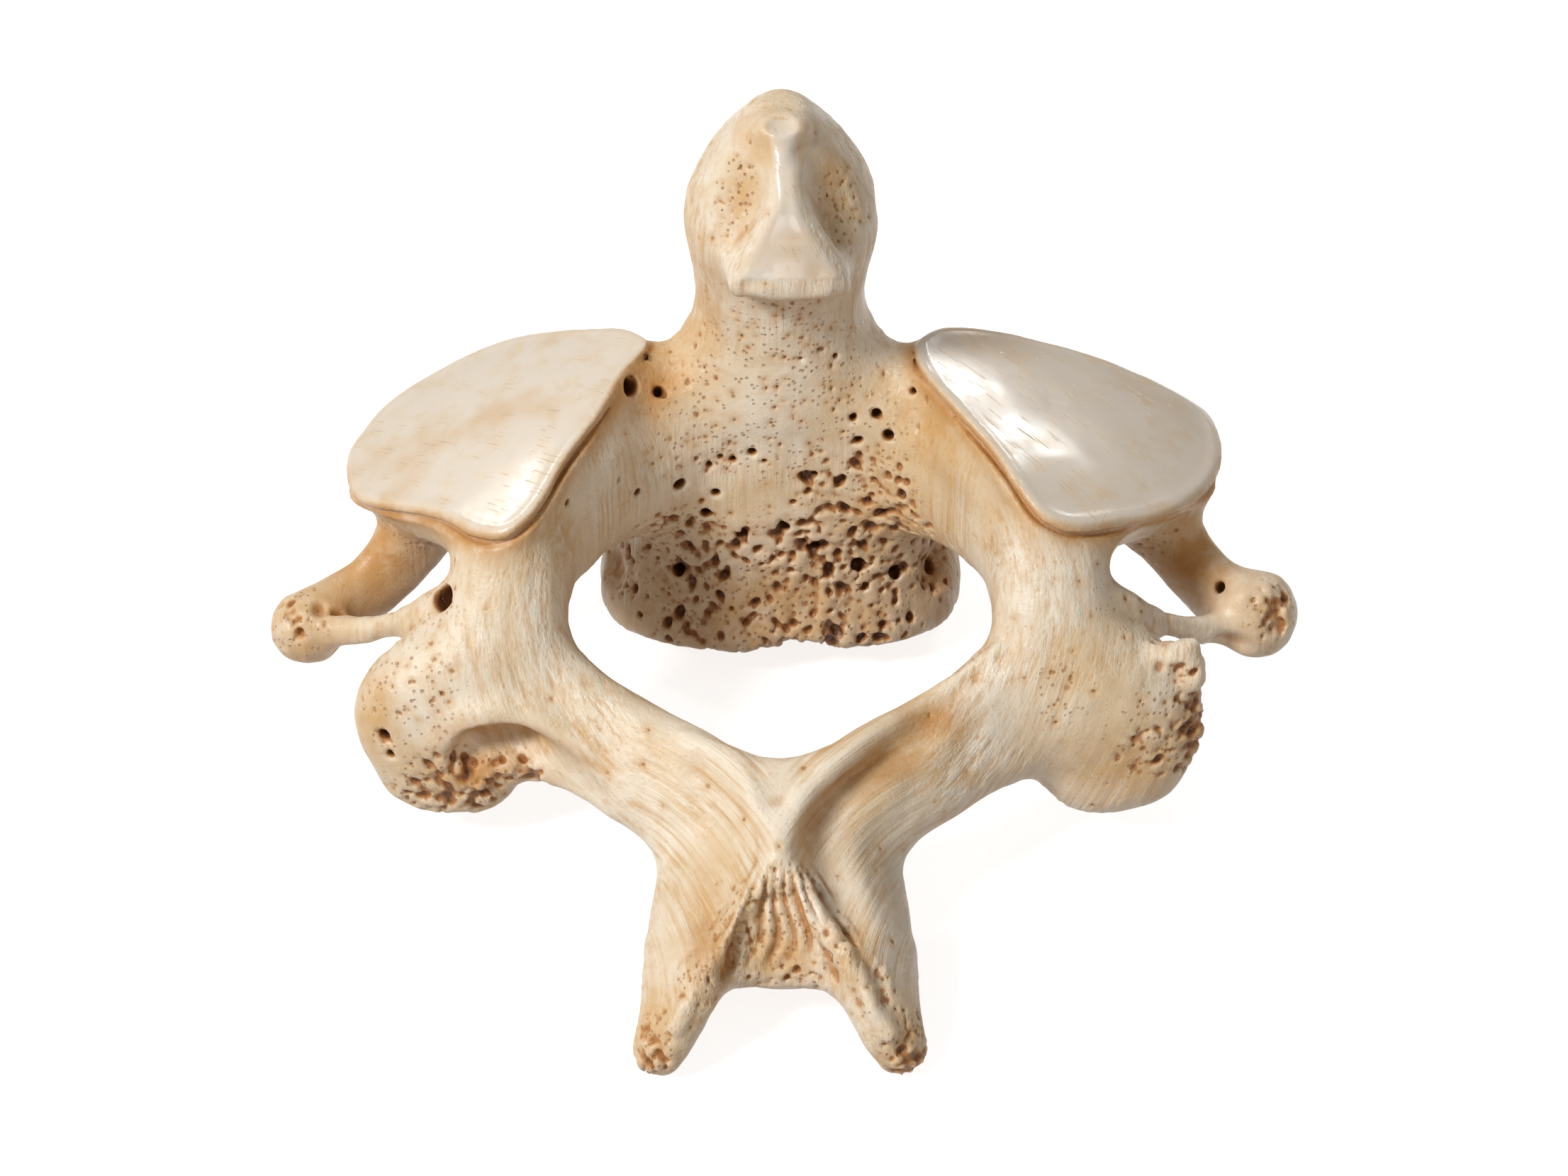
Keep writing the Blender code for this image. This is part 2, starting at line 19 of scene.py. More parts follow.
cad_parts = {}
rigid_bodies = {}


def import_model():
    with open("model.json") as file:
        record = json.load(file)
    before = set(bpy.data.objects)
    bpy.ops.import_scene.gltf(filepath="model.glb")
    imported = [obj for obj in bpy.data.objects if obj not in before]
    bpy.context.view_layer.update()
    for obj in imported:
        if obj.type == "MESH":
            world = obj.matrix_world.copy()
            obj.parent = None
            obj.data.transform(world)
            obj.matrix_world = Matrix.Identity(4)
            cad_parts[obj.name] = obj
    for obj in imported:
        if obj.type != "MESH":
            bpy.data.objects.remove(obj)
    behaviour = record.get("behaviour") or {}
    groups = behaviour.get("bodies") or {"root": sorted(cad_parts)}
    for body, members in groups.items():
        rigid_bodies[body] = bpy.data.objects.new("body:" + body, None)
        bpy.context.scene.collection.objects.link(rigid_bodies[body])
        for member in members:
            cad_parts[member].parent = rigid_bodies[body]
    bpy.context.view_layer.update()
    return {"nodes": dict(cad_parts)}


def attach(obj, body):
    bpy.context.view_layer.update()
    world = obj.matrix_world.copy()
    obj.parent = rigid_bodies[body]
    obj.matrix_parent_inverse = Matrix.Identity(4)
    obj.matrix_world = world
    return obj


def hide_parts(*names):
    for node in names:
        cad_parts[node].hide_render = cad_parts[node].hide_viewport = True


for leftover in list(bpy.data.objects):
    bpy.data.objects.remove(leftover)
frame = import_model()

# %% [markdown]
# ## Millimetres about the bone's midline
# Every number below is in millimetres, counted from the plane that halves the body and the dens. That
# plane stands a little beside the middle of the overall box, because the right process is the longer
# one.

# %% Units, the midline and the voxel
MM = 0.001
MIDLINE = np.array([-0.2276, 0.5386, 0.0])
VOXEL = 0.15
LEFT, RIGHT = -1, 1
SIDE_NAMES = {LEFT: "left", RIGHT: "right"}


def placed(name, data):
    """A new object of the scene that shows this mesh, lamp or camera."""
    thing = bpy.data.objects.new(name, data)
    bpy.context.scene.collection.objects.link(thing)
    return thing


def solid_arrays(nodes):
    """Corner points in mm about the midline, and triangles, of all the nodes together."""
    points, triangles, count = [], [], 0
    for node in nodes:
        work = bmesh.new()
        work.from_mesh(node.data)
        bmesh.ops.remove_doubles(work, verts=work.verts, dist=1e-6)
        bmesh.ops.triangulate(work, faces=work.faces)
        points.append(np.array([v.co for v in work.verts]) / MM - MIDLINE)
        triangles.append(np.array([[v.index for v in f.verts] for f in work.faces]) + count)
        count += len(work.verts)
        work.free()
    return np.vstack(points), np.vstack(triangles)


solid_points, solid_triangles = solid_arrays([frame["nodes"][n] for n in sorted(frame["nodes"])])
print("solid corners:", len(solid_points), "triangles:", len(solid_triangles))

# %% [markdown]
# ## One bone without cuts
# The cuts are 0.3 mm wide.  A distance field closes them: the skin is taken a little outside every
# part, where the gaps have vanished, and then brought back in by the same amount.  The result still
# shows the flat triangles of the solids, so it is relaxed.  Each round gives way and then takes back
# almost as much, which rounds off small corners and doesn't thin the slender bars.

# %% Close the cuts and relax the skin
CLOSING_VOXEL = 0.2
CLOSING_BAND = 4  # voxels either side of the skin
CLOSING = 0.24
RELAX_ROUNDS = 14


def distance_grid(points, size, band, triangles=None, quads=None):
    """A sparse grid that holds the distance to these faces, out to so many voxels either side."""
    faces = {}
    if triangles is not None:
        faces["triangles"] = np.ascontiguousarray(triangles, np.uint32)
    if quads is not None:
        faces["quads"] = np.ascontiguousarray(quads, np.uint32)
    return openvdb.FloatGrid.createLevelSetFromPolygons(
        np.ascontiguousarray(points, np.float32),
        transform=openvdb.createLinearTransform(voxelSize=size),
        halfWidth=band,
        **faces,
    )


def neighbours(quads):
    """For closed quads, every corner paired once with each of its neighbours."""
    return quads.ravel(), np.roll(quads, -1, axis=1).ravel()


def mean_of(quads, count):
    """A function that gives the mean of every point's neighbours."""
    here, there = neighbours(quads)
    degree = np.bincount(here, minlength=count)[:, None]
    return lambda points: np.column_stack([np.bincount(here, points[there, k], count) for k in range(3)]) / degree


def relaxed(points, quads, rounds, give=0.5, take=-0.52):
    """The points after rounds of moving towards the mean of their neighbours and almost back."""
    mean = mean_of(quads, len(points))
    for _ in range(rounds):
        for share in (give, take):
            points = points + share * (mean(points) - points)
    return points


grid = distance_grid(solid_points, CLOSING_VOXEL, CLOSING_BAND, triangles=solid_triangles)
points, quads = grid.convertToQuads(CLOSING)
grid = distance_grid(points, CLOSING_VOXEL, CLOSING_BAND, quads=quads)
points, quads = grid.convertToQuads(-CLOSING)
points = relaxed(points.astype(float), quads, RELAX_ROUNDS)
print("closed skin:", len(points), "points")

# %% [markdown]
# ## Clay
# The block of voxels is an ordinary array of signed distances: below zero inside the bone, above zero
# outside.  Adding a form is a minimum and carving one is a maximum, and a soft version of both leaves
# a fillet as wide as the blend.  Each form works only on the window of the array that it reaches, so
# even thousands of small ones are quick.

# %% The clay and its forms
BAND = 12  # voxels of true distance either side of the skin
FILLET_REACH = 0.7  # how far past a form its window goes, for the blend


def soft_min(a, b, blend):
    """The lesser of two distances, with a fillet where they are about equal."""
    h = np.clip(0.5 + 0.5 * (b - a) / blend, 0, 1)
    return b + (a - b) * h - blend * h * (1 - h)


def carried_smoothly(rows, steps, closed=False):
    """Rows of numbers carried smoothly through the given ones, by Catmull-Rom."""
    rows = np.asarray(rows, float)
    if closed:
        rows = np.vstack([rows[-1:], rows, rows[:2]])
    else:
        rows = np.vstack([2 * rows[0] - rows[1], rows, 2 * rows[-1] - rows[-2]])
    out = []
    for a, b, c, d in zip(rows, rows[1:], rows[2:], rows[3:]):
        for t in np.arange(steps) / steps:
            bend = (2 * a - 5 * b + 4 * c - d) * t**2 + (3 * b - a - 3 * c + d) * t**3
            out.append(0.5 * (2 * b + (c - a) * t + bend))
    if not closed:
        out.append(rows[-2])
    return np.array(out)


class Clay:
    """A block of signed distances in mm about the midline, and the tools that work it."""

    def __init__(self, points, quads, size, margin=1.0):
        self.size = size
        start = np.floor((points.min(axis=0) - margin) / size).astype(int)
        stop = np.ceil((points.max(axis=0) + margin) / size).astype(int)
        self.start, self.low = start, start * size
        grid = distance_grid(points, size, BAND, quads=quads)
        self.dist = np.full(stop - start, BAND * size, np.float32)
        grid.copyToArray(self.dist, ijk=tuple(int(i) for i in start))

    def window(self, low, high):
        """The slices of the array between two corners, and the coordinates in it."""
        first = np.maximum(np.floor((np.asarray(low) - self.low) / self.size).astype(int), 0)
        last = np.minimum(np.ceil((np.asarray(high) - self.low) / self.size).astype(int) + 1, self.dist.shape)
        lines = [(self.low[k] + self.size * np.arange(first[k], last[k])).astype(np.float32) for k in range(3)]
        return tuple(slice(a, b) for a, b in zip(first, last)), *np.meshgrid(*lines, indexing="ij", sparse=True)

    def add(self, form, blend=0.4):
        measure, low, high = form
        where, x, y, z = self.window(low, high)
        self.dist[where] = soft_min(self.dist[where], measure(x, y, z), blend)

    def carve(self, form, blend=0.3):
        measure, low, high = form
        where, x, y, z = self.window(low, high)
        self.dist[where] = -soft_min(-self.dist[where], measure(x, y, z), blend)

    def skin(self):
        """The points and quads of the skin, the largest closed sheet only."""
        reach = 3 * self.size
        grid = openvdb.FloatGrid(reach)
        grid.transform = openvdb.createLinearTransform(voxelSize=self.size)
        grid.gridClass = openvdb.GridClass.LEVEL_SET
        grid.copyFromArray(np.clip(self.dist, -reach, reach), ijk=tuple(int(i) for i in self.start))
        points, quads = grid.convertToQuads(0.0)
        return largest_sheet(points.astype(float), quads.astype(np.int64))

    def read(self, field, points):
        """The values of a field like the clay's own at any points, by linear interpolation."""
        q = (points - self.low) / self.size
        i = np.clip(np.floor(q).astype(int), 0, np.array(field.shape) - 2)
        f = q - i
        value = np.zeros(len(points))
        for corner in np.ndindex(2, 2, 2):
            share = np.prod(np.where(corner, f, 1 - f), axis=1)
            value += share * field[tuple((i + corner).T)]
        return value


def largest_sheet(points, quads):
    """The connected sheet with the most points, facing out."""
    here, there = neighbours(quads)
    label = np.arange(len(points))
    while True:
        fresh = label.copy()
        np.minimum.at(fresh, here, label[there])
        fresh = fresh[fresh]
        if np.array_equal(fresh, label):
            break
        label = fresh
    main = np.bincount(label).argmax()
    keep = label == main
    index = np.cumsum(keep) - 1
    points, quads = points[keep], index[quads[keep[quads[:, 0]]]]
    a, b, c = points[quads[:, 0]], points[quads[:, 1]], points[quads[:, 2]]
    if (a * np.cross(b, c)).sum() < 0:
        quads = quads[:, ::-1]
    return points, quads


def egg(centre, radii, turn=(0, 0, 0)):
    """An ellipsoid: its centre, half sizes, and turn in degrees about X, Y and Z."""
    m = np.array(Euler([radians(a) for a in turn]).to_matrix())
    reach = max(radii) + FILLET_REACH

    def measure(x, y, z):
        x, y, z = x - centre[0], y - centre[1], z - centre[2]
        a, b, c = ((m[0, k] * x + m[1, k] * y + m[2, k] * z) / radii[k] for k in range(3))
        near = np.sqrt(a * a + b * b + c * c)
        steep = np.sqrt((a / radii[0]) ** 2 + (b / radii[1]) ** 2 + (c / radii[2]) ** 2)
        return near * (near - 1) / np.maximum(steep, 1e-6)

    return measure, np.asarray(centre) - reach, np.asarray(centre) + reach


def rod(stations, steps=4):
    """A round rod carried smoothly through stations of (x, y, z, radius)."""
    rows = carried_smoothly(stations, steps)
    reach = rows[:, 3].max() + FILLET_REACH

    def measure(x, y, z):
        nearest = np.float32(1e3)
        for a, b in zip(rows, rows[1:]):
            run = b - a
            t = (x - a[0]) * run[0] + (y - a[1]) * run[1] + (z - a[2]) * run[2]
            t = np.clip(t / (run[:3] @ run[:3]), 0, 1)
            away = (x - a[0] - t * run[0]) ** 2 + (y - a[1] - t * run[1]) ** 2 + (z - a[2] - t * run[2]) ** 2
            nearest = np.minimum(nearest, np.sqrt(away) - a[3] - t * run[3])
        return nearest

    return measure, rows[:, :3].min(axis=0) - reach, rows[:, :3].max(axis=0) + reach


clay = Clay(points, quads, VOXEL)
print("clay:", clay.dist.shape, "voxels of", VOXEL, "mm")

# %% [markdown]
# ## The upper joint faces
# Each is a thin glossy plate that slopes down outwards.  Its rim stands proud of the bone round it,
# with a groove below that the finish paints tan and rust, partly stain and partly painted shade.  Its plan
# is a smooth closed outline, so its distance is two simple ones put together: how far a point is from
# the outline in plan, and how far above the sloping top.

# %% Joint faces
FACE_OUTLINES = {
    LEFT: [
        (7.5, 12.9), (8.0, 14.3), (9.6, 15.6), (13.2, 16.9), (16.0, 17.4), (19.1, 16.8), (22.3, 15.1),
        (24.2, 12.5), (24.6, 10.6), (24.1, 7.9), (22.9, 6.3), (18.9, 3.4), (17.1, 1.5), (15.5, 0.6),
        (14.4, 0.8), (13.2, 2.0), (11.9, 4.7), (10.2, 7.5), (9.0, 10.4),
    ],
    RIGHT: [
        (7.6, 12.9), (8.6, 14.9), (10.0, 15.9), (13.2, 16.6), (16.9, 17.0), (21.0, 16.8), (23.7, 16.2),
        (24.8, 15.4), (25.2, 12.9), (24.9, 10.2), (23.6, 7.3), (21.2, 4.5), (18.5, 2.6), (16.2, 1.4),
        (14.4, 1.6), (13.2, 3.1), (11.9, 5.3), (9.8, 8.0), (8.1, 10.5),
    ],
}
FACE_THICKNESS = 0.66
FACE_ROUNDING = 0.21
RIM_RISE = 0.05
TRENCH_WIDTH = 3.0
GROOVE_RADIUS = 0.14


def outline_distance(a, b, outline):
    """Signed distance in a plane from a closed outline, below zero inside."""
    loop = carried_smoothly(outline, 6, closed=True).astype(np.float32)
    away = np.full(np.broadcast(a, b).shape, 1e3, np.float32)
    inside = np.zeros(away.shape, bool)
    for p, q in zip(loop, np.roll(loop, -1, axis=0)):
        run = q - p
        t = np.clip(((a - p[0]) * run[0] + (b - p[1]) * run[1]) / (run @ run), 0, 1)
        away = np.minimum(away, np.hypot(a - p[0] - t * run[0], b - p[1] - t * run[1]))
        if p[1] != q[1]:
            inside ^= ((b < p[1]) != (b < q[1])) & (a < p[0] + (b - p[1]) * run[0] / run[1])
    return np.where(inside, -away, away)


def face_height(out, y):
    """The top of a plate: it slopes down outwards and is a little domed."""
    return 23.0 - 0.40 * (out - 7.5) - 0.009 * (out - 15.5) ** 2 - 0.012 * (y - 8.6) ** 2


def face_measures(side, x, y, z):
    """How far points are from the plate's outline in plan, and how far above its top."""
    edge = outline_distance(side * x, y, FACE_OUTLINES[side])
    rim = RIM_RISE * np.exp(-((edge + 0.35) / 0.35) ** 2)
    return edge, z - face_height(side * x, y) - rim


def round_plate(edge, above, thickness, rounding):
    """A plate under its top with rounded edges, from the two distances."""
    a = edge + rounding
    b = np.abs(above + thickness / 2) - thickness / 2 + rounding
    return np.hypot(np.maximum(a, 0), np.maximum(b, 0)) + np.minimum(np.maximum(a, b), 0) - rounding


for side in (LEFT, RIGHT):
    low, high = sorted((side * 5.5, side * 27.5))
    where, x, y, z = clay.window((low, -2.0, 9.0), (high, 19.5, 26.0))
    edge, above = face_measures(side, x, y, z)
    out = side * x
    part = clay.dist[where]
    # What stands above the top goes, and the bone round the plate sinks, except near the dens.
    part = np.maximum(part, -np.maximum(edge - 0.2, -above))
    trench = np.maximum(np.maximum(-edge, edge - TRENCH_WIDTH), -above - FACE_THICKNESS)
    trench = trench + 2.0 * np.clip((10.5 - out) / 2.0, 0, 1)
    part = -soft_min(-part, trench, 0.5)
    part = soft_min(part, round_plate(edge, above, FACE_THICKNESS, FACE_ROUNDING), 0.22)
    groove = np.hypot(edge + 0.05, above + FACE_THICKNESS + 0.1) - GROOVE_RADIUS
    clay.dist[where] = -soft_min(-part, groove, 0.25)
    print("joint face:", SIDE_NAMES[side])

# %% [markdown]
# ## The nose of the dens
# On the back of the dens a smooth triangle, once covered by a ligament, juts out like a nose.  A narrow
# ridge runs from it to a small oval pit near the tip, and the flanks beside the ridge are sunken.  The
# triangle is a plate again, drawn on the plane that leans back with the dens.

# %% Nose, ridge and flanks of the dens
NOSE_MIDDLE = np.array([0.55, 9.05, 31.9])
NOSE_UP = np.array([0.0, 0.30, 0.954])
NOSE_OUT = np.array([0.0, -0.954, 0.30])
NOSE_OUTLINE = [
    (-1.15, 7.4), (-1.1, 6.0), (-1.0, 4.8), (-0.85, 3.6), (-0.95, 2.9), (-1.3, 2.1), (-1.8, 1.0), (-2.45, -0.2),
    (-2.95, -1.1), (-3.3, -2.0), (-3.05, -2.85), (-1.4, -3.0), (0.0, -3.1), (1.4, -3.0), (2.9, -2.8),
    (3.2, -2.0), (2.8, -1.0), (2.1, 0.2), (1.4, 1.3), (0.95, 2.1), (0.65, 2.9), (0.5, 3.6), (0.45, 4.8),
    (0.4, 6.0), (0.4, 7.4),
]
LIP = -1.1
NOSE_THICKNESS = 3.0
NOSE_ROUNDING = 0.42


def nose_measures(x, y, z):
    """How far points are from the triangle's outline, and how far in front of its face."""
    x, y, z = x - NOSE_MIDDLE[0], y - NOSE_MIDDLE[1], z - NOSE_MIDDLE[2]
    up = NOSE_UP[1] * y + NOSE_UP[2] * z
    out = NOSE_OUT[1] * y + NOSE_OUT[2] * z
    edge = outline_distance(x, up, NOSE_OUTLINE)
    # The face bends back towards the ridge and is dished, and then come the lip and the raised rim.
    front = -0.27 * np.clip(up - 2.4, 0, 6) ** 2 - 0.38 * np.exp(-((x / 1.6) ** 2) - ((up + 0.5) / 1.5) ** 2)
    lip = LIP + 0.12 * np.sin(3.1 * x + 0.6) + 0.06 * np.sin(7.3 * x)
    front = front + 0.30 * np.exp(-(((up - lip) / 0.40) ** 2)) - 0.34 * np.clip(lip - up, 0, 2) ** 1.7
    front = front + 0.12 * np.exp(-(((edge + 0.45) / 0.3) ** 2))
    return edge, out - front


for side, centre in ((LEFT, (-2.35, 11.35, 34.3)), (RIGHT, (3.0, 11.5, 33.8))):
    clay.carve(egg(centre, (1.2, 0.75, 2.9), (-18, 0, side * 32)), 1.5)
where, x, y, z = clay.window((-4.5, 7.0, 27.5), (5.5, 14.5, 38.5))
edge, above = nose_measures(x, y, z)
clay.dist[where] = soft_min(clay.dist[where], round_plate(edge, above, NOSE_THICKNESS, NOSE_ROUNDING), 0.7)
clay.carve(egg((0.55, 9.2, 28.2), (2.8, 1.25, 0.8), (-20, 0, 0)), 0.6)
# The pad at the top and the oval pit in it.
clay.add(egg((0.1, 13.7, 36.95), (1.6, 1.2, 0.9), (-20, 0, 0)), 0.5)
clay.carve(egg((0.1, 13.1, 37.95), (1.12, 0.86, 0.56), (27, 0, 0)), 0.15)
print("nose made")

# %% [markdown]
# ## Forms that the solids leave plain
# The lower left process has a deep scoop under a curled rim, the right one a notch with two spurs, and
# the knobs at the ends of the transverse processes are hollow between thin struts.  They are eggs and
# rods, added to the clay or carved from it.

# %% Scoop, notch, knobs and hollows
def carve_eggs(blend, *eggs):
    for form in eggs:
        clay.carve(egg(*form), blend)


def rods(blend, *paths):
    for stations in paths:
        clay.add(rod(stations), blend)


# The curled rim of the lower left process and the bowl under it.
rods(1.3, [
    (-18.9, -4.5, 8.2, 0.4), (-17.6, -4.7, 9.6, 0.6), (-16.2, -4.6, 10.2, 0.75), (-14.4, -4.6, 10.3, 0.75),
    (-12.4, -5.2, 9.8, 0.65), (-10.8, -6.2, 9.2, 0.4),
])
carve_eggs(0.5, ((-15.4, -6.3, 8.5), (2.7, 3.0, 1.6), (0, 4, 4)), ((-17.3, -6.2, 7.5), (1.3, 1.9, 1.3)))
# The lower corners of the body, and the scoop's inner end.
carve_eggs(0.7, ((9.4, 11.6, 6.2), (1.1, 1.5, 1.5), (0, 20, 0)), ((-10.1, 12.9, 5.6), (0.9, 1.6, 1.7), (0, -20, 0)))
carve_eggs(1.3, ((-12.7, -6.9, 7.9), (3.0, 1.15, 1.5), (0, 16, -28)))
# The struts of the scoop.
rods(
    0.2,
    [(-17.6, -5.2, 7.4, 0.15), (-16.6, -5.6, 6.9, 0.17), (-15.4, -5.5, 6.5, 0.15), (-14.2, -5.6, 6.8, 0.18)],
    [(-16.6, -5.5, 7.0, 0.15), (-16.3, -5.4, 6.2, 0.18), (-16.8, -5.3, 5.4, 0.2)],
    [(-15.2, -5.4, 7.4, 0.12), (-15.3, -5.6, 6.6, 0.15), (-14.8, -5.4, 5.8, 0.18)],
)
# The lower right process: two spurs, and the notch with its hollows.
rods(
    0.6,
    [(20.9, -2.0, 12.1, 0.9), (22.0, -2.1, 12.3, 0.9), (22.7, -2.3, 12.0, 0.8), (22.9, -2.6, 11.2, 0.7)],
    [(22.5, -2.0, 12.8, 0.35), (22.9, -1.9, 13.0, 0.3)],
)
carve_eggs(
    0.2,
    ((20.9, -0.9, 13.1), (0.4, 0.9, 0.7), (0, 10, 0)),
    ((22.2, -3.1, 12.2), (0.36, 0.5, 0.42), (0, 20, 0)),
    ((21.0, -3.2, 12.4), (0.3, 0.5, 0.4)),
    ((21.7, -1.4, 13.2), (0.45, 0.4, 0.4)),
)
# The knob at the end of the left transverse process.
carve_eggs(
    0.2,
    ((-26.1, 4.5, 9.9), (0.62, 0.7, 0.62)),
    ((-27.9, 4.45, 9.6), (0.42, 0.5, 0.45)),
    ((-24.9, 4.6, 9.4), (1.0, 0.4, 0.5), (0, 35, 0)),
    ((-28.4, 3.4, 7.8), (0.3, 0.4, 0.4)),
    ((-27.2, 3.6, 8.7), (0.3, 0.5, 0.35)),
)
# The back of the right transverse process.
carve_eggs(0.6, ((25.5, 3.0, 8.3), (1.2, 0.7, 0.7), (0, 20, 0)))
# The two shallow hollows on the front of the body.
carve_eggs(1.6, *(((x, 23.0, 9.0), (2.8, 1.6, 5.0), (-6, 0, 0)) for x in (4.2, -4.2)))
# The knob at the end of the right transverse process.
carve_eggs(
    0.2,
    ((27.3, 3.0, 10.6), (0.4, 0.9, 0.8), (0, 20, 0)),
    ((28.4, 3.3, 10.3), (0.35, 0.8, 0.8), (0, 20, 0)),
    ((28.0, 3.2, 9.2), (0.4, 0.7, 0.4)),
    ((26.6, 3.6, 11.1), (0.4, 0.6, 0.5)),
    ((25.0, 5.2, 10.9), (0.5, 0.5, 0.6)),
)
print("forms made")

# %% [markdown]
# ## Crest, fork and web of the spine
# The upper edges of the two laminae meet in a narrow crest, which parts again into the two branches of
# the fork.  Between them hangs a web with upright folds.  The flanks are hollowed first, deepest on
# the right, and then the crest and the branches are laid on as thin rods, so that they stay crisp.

# %% Flanks, crest and web
FLANK_HOLLOWS = [
    ([(9.6, -5.0, 12.3, 0.3), (7.3, -7.3, 11.05, 0.85), (5.2, -9.3, 10.75, 1.0), (3.7, -11.0, 10.4, 1.15),
      (3.0, -12.8, 9.8, 1.25), (3.1, -15.0, 8.8, 1.25), (4.1, -17.6, 7.5, 1.0)], 1.3),
    ([(-4.7, -10.0, 11.0, 0.8), (-4.2, -12.0, 9.7, 1.1), (-3.9, -14.4, 8.9, 1.2), (-4.4, -17.0, 7.5, 0.9)], 1.4),
    ([(-1.1, -17.0, 8.4, 0.25), (-1.9, -18.4, 7.1, 0.35), (-2.7, -19.7, 5.5, 0.4)], 0.9),
    ([(1.0, -17.1, 8.4, 0.25), (1.8, -18.5, 7.1, 0.35), (2.7, -19.8, 5.5, 0.4)], 0.9),
    ([(0.1, -17.2, 7.7, 0.1), (0.2, -18.1, 6.4, 0.2), (0.2, -18.9, 5.2, 0.24)], 0.3),
]
for stations, blend in FLANK_HOLLOWS:
    clay.carve(rod(stations), blend)
rods(
    0.7,
    [
        (-5.2, -7.4, 11.1, 0.4), (-2.61, -9.1, 11.05, 0.45), (-1.74, -10.75, 10.7, 0.45),
        (-1.1, -12.25, 10.25, 0.45), (-0.6, -13.4, 9.95, 0.45), (-0.35, -14.6, 9.6, 0.45),
        (-0.9, -15.6, 9.05, 0.4), (-2.2, -17.3, 7.9, 0.38), (-3.3, -19.0, 6.9, 0.38), (-4.5, -20.5, 5.7, 0.38),
        (-5.6, -22.0, 3.8, 0.34),
    ],
    [
        (12.0, -2.2, 13.1, 0.15), (10.2, -3.1, 11.9, 0.25), (8.2, -4.4, 10.85, 0.35), (6.6, -5.8, 10.85, 0.42),
        (5.1, -7.2, 11.05, 0.48), (3.05, -9.5, 11.1, 0.5), (1.54, -11.0, 10.7, 0.5), (0.75, -12.4, 10.35, 0.5),
        (0.3, -13.6, 9.95, 0.45), (0.1, -14.7, 9.6, 0.45), (0.7, -15.6, 9.0, 0.4), (1.8, -17.4, 7.8, 0.38),
        (3.0, -19.1, 6.8, 0.38), (4.2, -20.5, 5.7, 0.38), (5.9, -22.3, 3.5, 0.34),
    ],
    [
        (-0.1, -12.6, 10.0, 0.5), (-0.1, -14.2, 9.55, 0.6), (-0.1, -15.8, 8.7, 0.45),
    ],
)
print("crest and flanks made")

# %% [markdown]
# ## Named holes
# A few holes are big enough to know one by one, such as the vessel holes beside the joint faces.  Each
# is a short rod driven into the skin.  Its direction is the slope of the distance field there.

# %% Single holes
HOLE_DEPTH = 2.4  # in radii
HOLES = [  # where, and the radius
    (-8.35, 10.6, 21.1, 0.62), (-6.8, 11.0, 20.4, 0.36), (-5.65, 9.4, 14.7, 0.42), (-8.0, 8.0, 15.4, 0.26),
    (-9.0, 7.2, 17.1, 0.22), (-11.8, 4.1, 18.2, 0.24), (4.1, 10.2, 19.0, 0.27), (5.4, 10.2, 19.3, 0.34),
    (6.05, 9.8, 18.1, 0.36), (4.35, 10.0, 17.5, 0.30), (7.4, 10.8, 20.6, 0.24), (-2.7, 10.0, 16.0, 0.24),
    (-3.4, 10.0, 16.2, 0.22), (-1.6, 10.0, 16.6, 0.30), (-4.0, 9.9, 15.6, 0.24), (-0.9, 10.0, 16.0, 0.2),
    (-18.7, 0.5, 14.3, 0.80), (-22.1, -4.4, 8.4, 0.42), (-21.7, -4.6, 7.2, 0.3), (1.9, 10.0, 15.0, 0.26),
    (24.9, 5.6, 10.4, 0.42), (3.9, 10.0, 23.2, 0.2), (2.4, 10.3, 23.6, 0.16), (1.2, 10.4, 23.2, 0.16),
    (-3.7, 9.7, 13.6, 0.3), (-4.3, 9.5, 12.0, 0.36), (0.2, 9.7, 11.2, 0.42), (1.9, 9.7, 9.4, 0.4),
    (-2.2, 9.6, 10.4, 0.36), (4.6, 9.7, 8.0, 0.44), (-6.4, 9.2, 7.4, 0.42), (7.4, 9.3, 7.2, 0.46),
    (0.3, 21.6, 10.5, 0.3), (-1.6, 21.3, 12.4, 0.34), (2.1, 21.2, 13.0, 0.28), (-5.2, 20.4, 9.0, 0.3),
    (5.6, 20.3, 8.2, 0.34),
]


def slope(point):
    """The way out of the bone at a point near its skin."""
    step = 2 * clay.size
    ends = np.array([point + s * step * np.eye(3)[k] for k in range(3) for s in (1, -1)])
    value = clay.read(clay.dist, ends)
    run = value[::2] - value[1::2]
    return run / max(np.linalg.norm(run), 1e-6)


def drive_hole(point, radius):
    """A hole whose mouth is on the skin near the point and which narrows to its floor."""
    point = np.array(point, float)
    for _ in range(4):
        point = point - slope(point) * clay.read(clay.dist, point[None])[0]
    out = slope(point)
    mouth, floor = point + 0.6 * radius * out, point - HOLE_DEPTH * radius * out
    clay.carve(rod([(*mouth, radius), (*point, radius), (*floor, 0.55 * radius)], 2), 0.12)


bare_dist = clay.dist.copy()
for *point, radius in HOLES:
    drive_hole(point, radius)
print("single holes:", len(HOLES))

# %% [markdown]
# ## Where the bone is spongy
# Old dry bone loses its thin crust first at edges, tips and on the back wall of the body, and the
# spongy bone shows.  Each patch is a soft-edged egg of influence, and a mask is the strongest of its
# patches.  The masks steer the scatter of pits here and the colours later.  Every patch is a row of
# six numbers: its middle, and its half sizes.

# %% Masks
def patches(points, eggs, inner=0.75, outer=1.2):
    """How strongly each point lies in any of the eggs: 1 inside the inner share, 0 past the outer."""
    strongest = np.zeros(len(points))
    for x, y, z, *radii in eggs:
        away = np.sqrt((((points - (x, y, z)) / radii) ** 2).sum(axis=1))
        strongest = np.maximum(strongest, np.clip((outer - away) / (outer - inner), 0, 1))
    return strongest


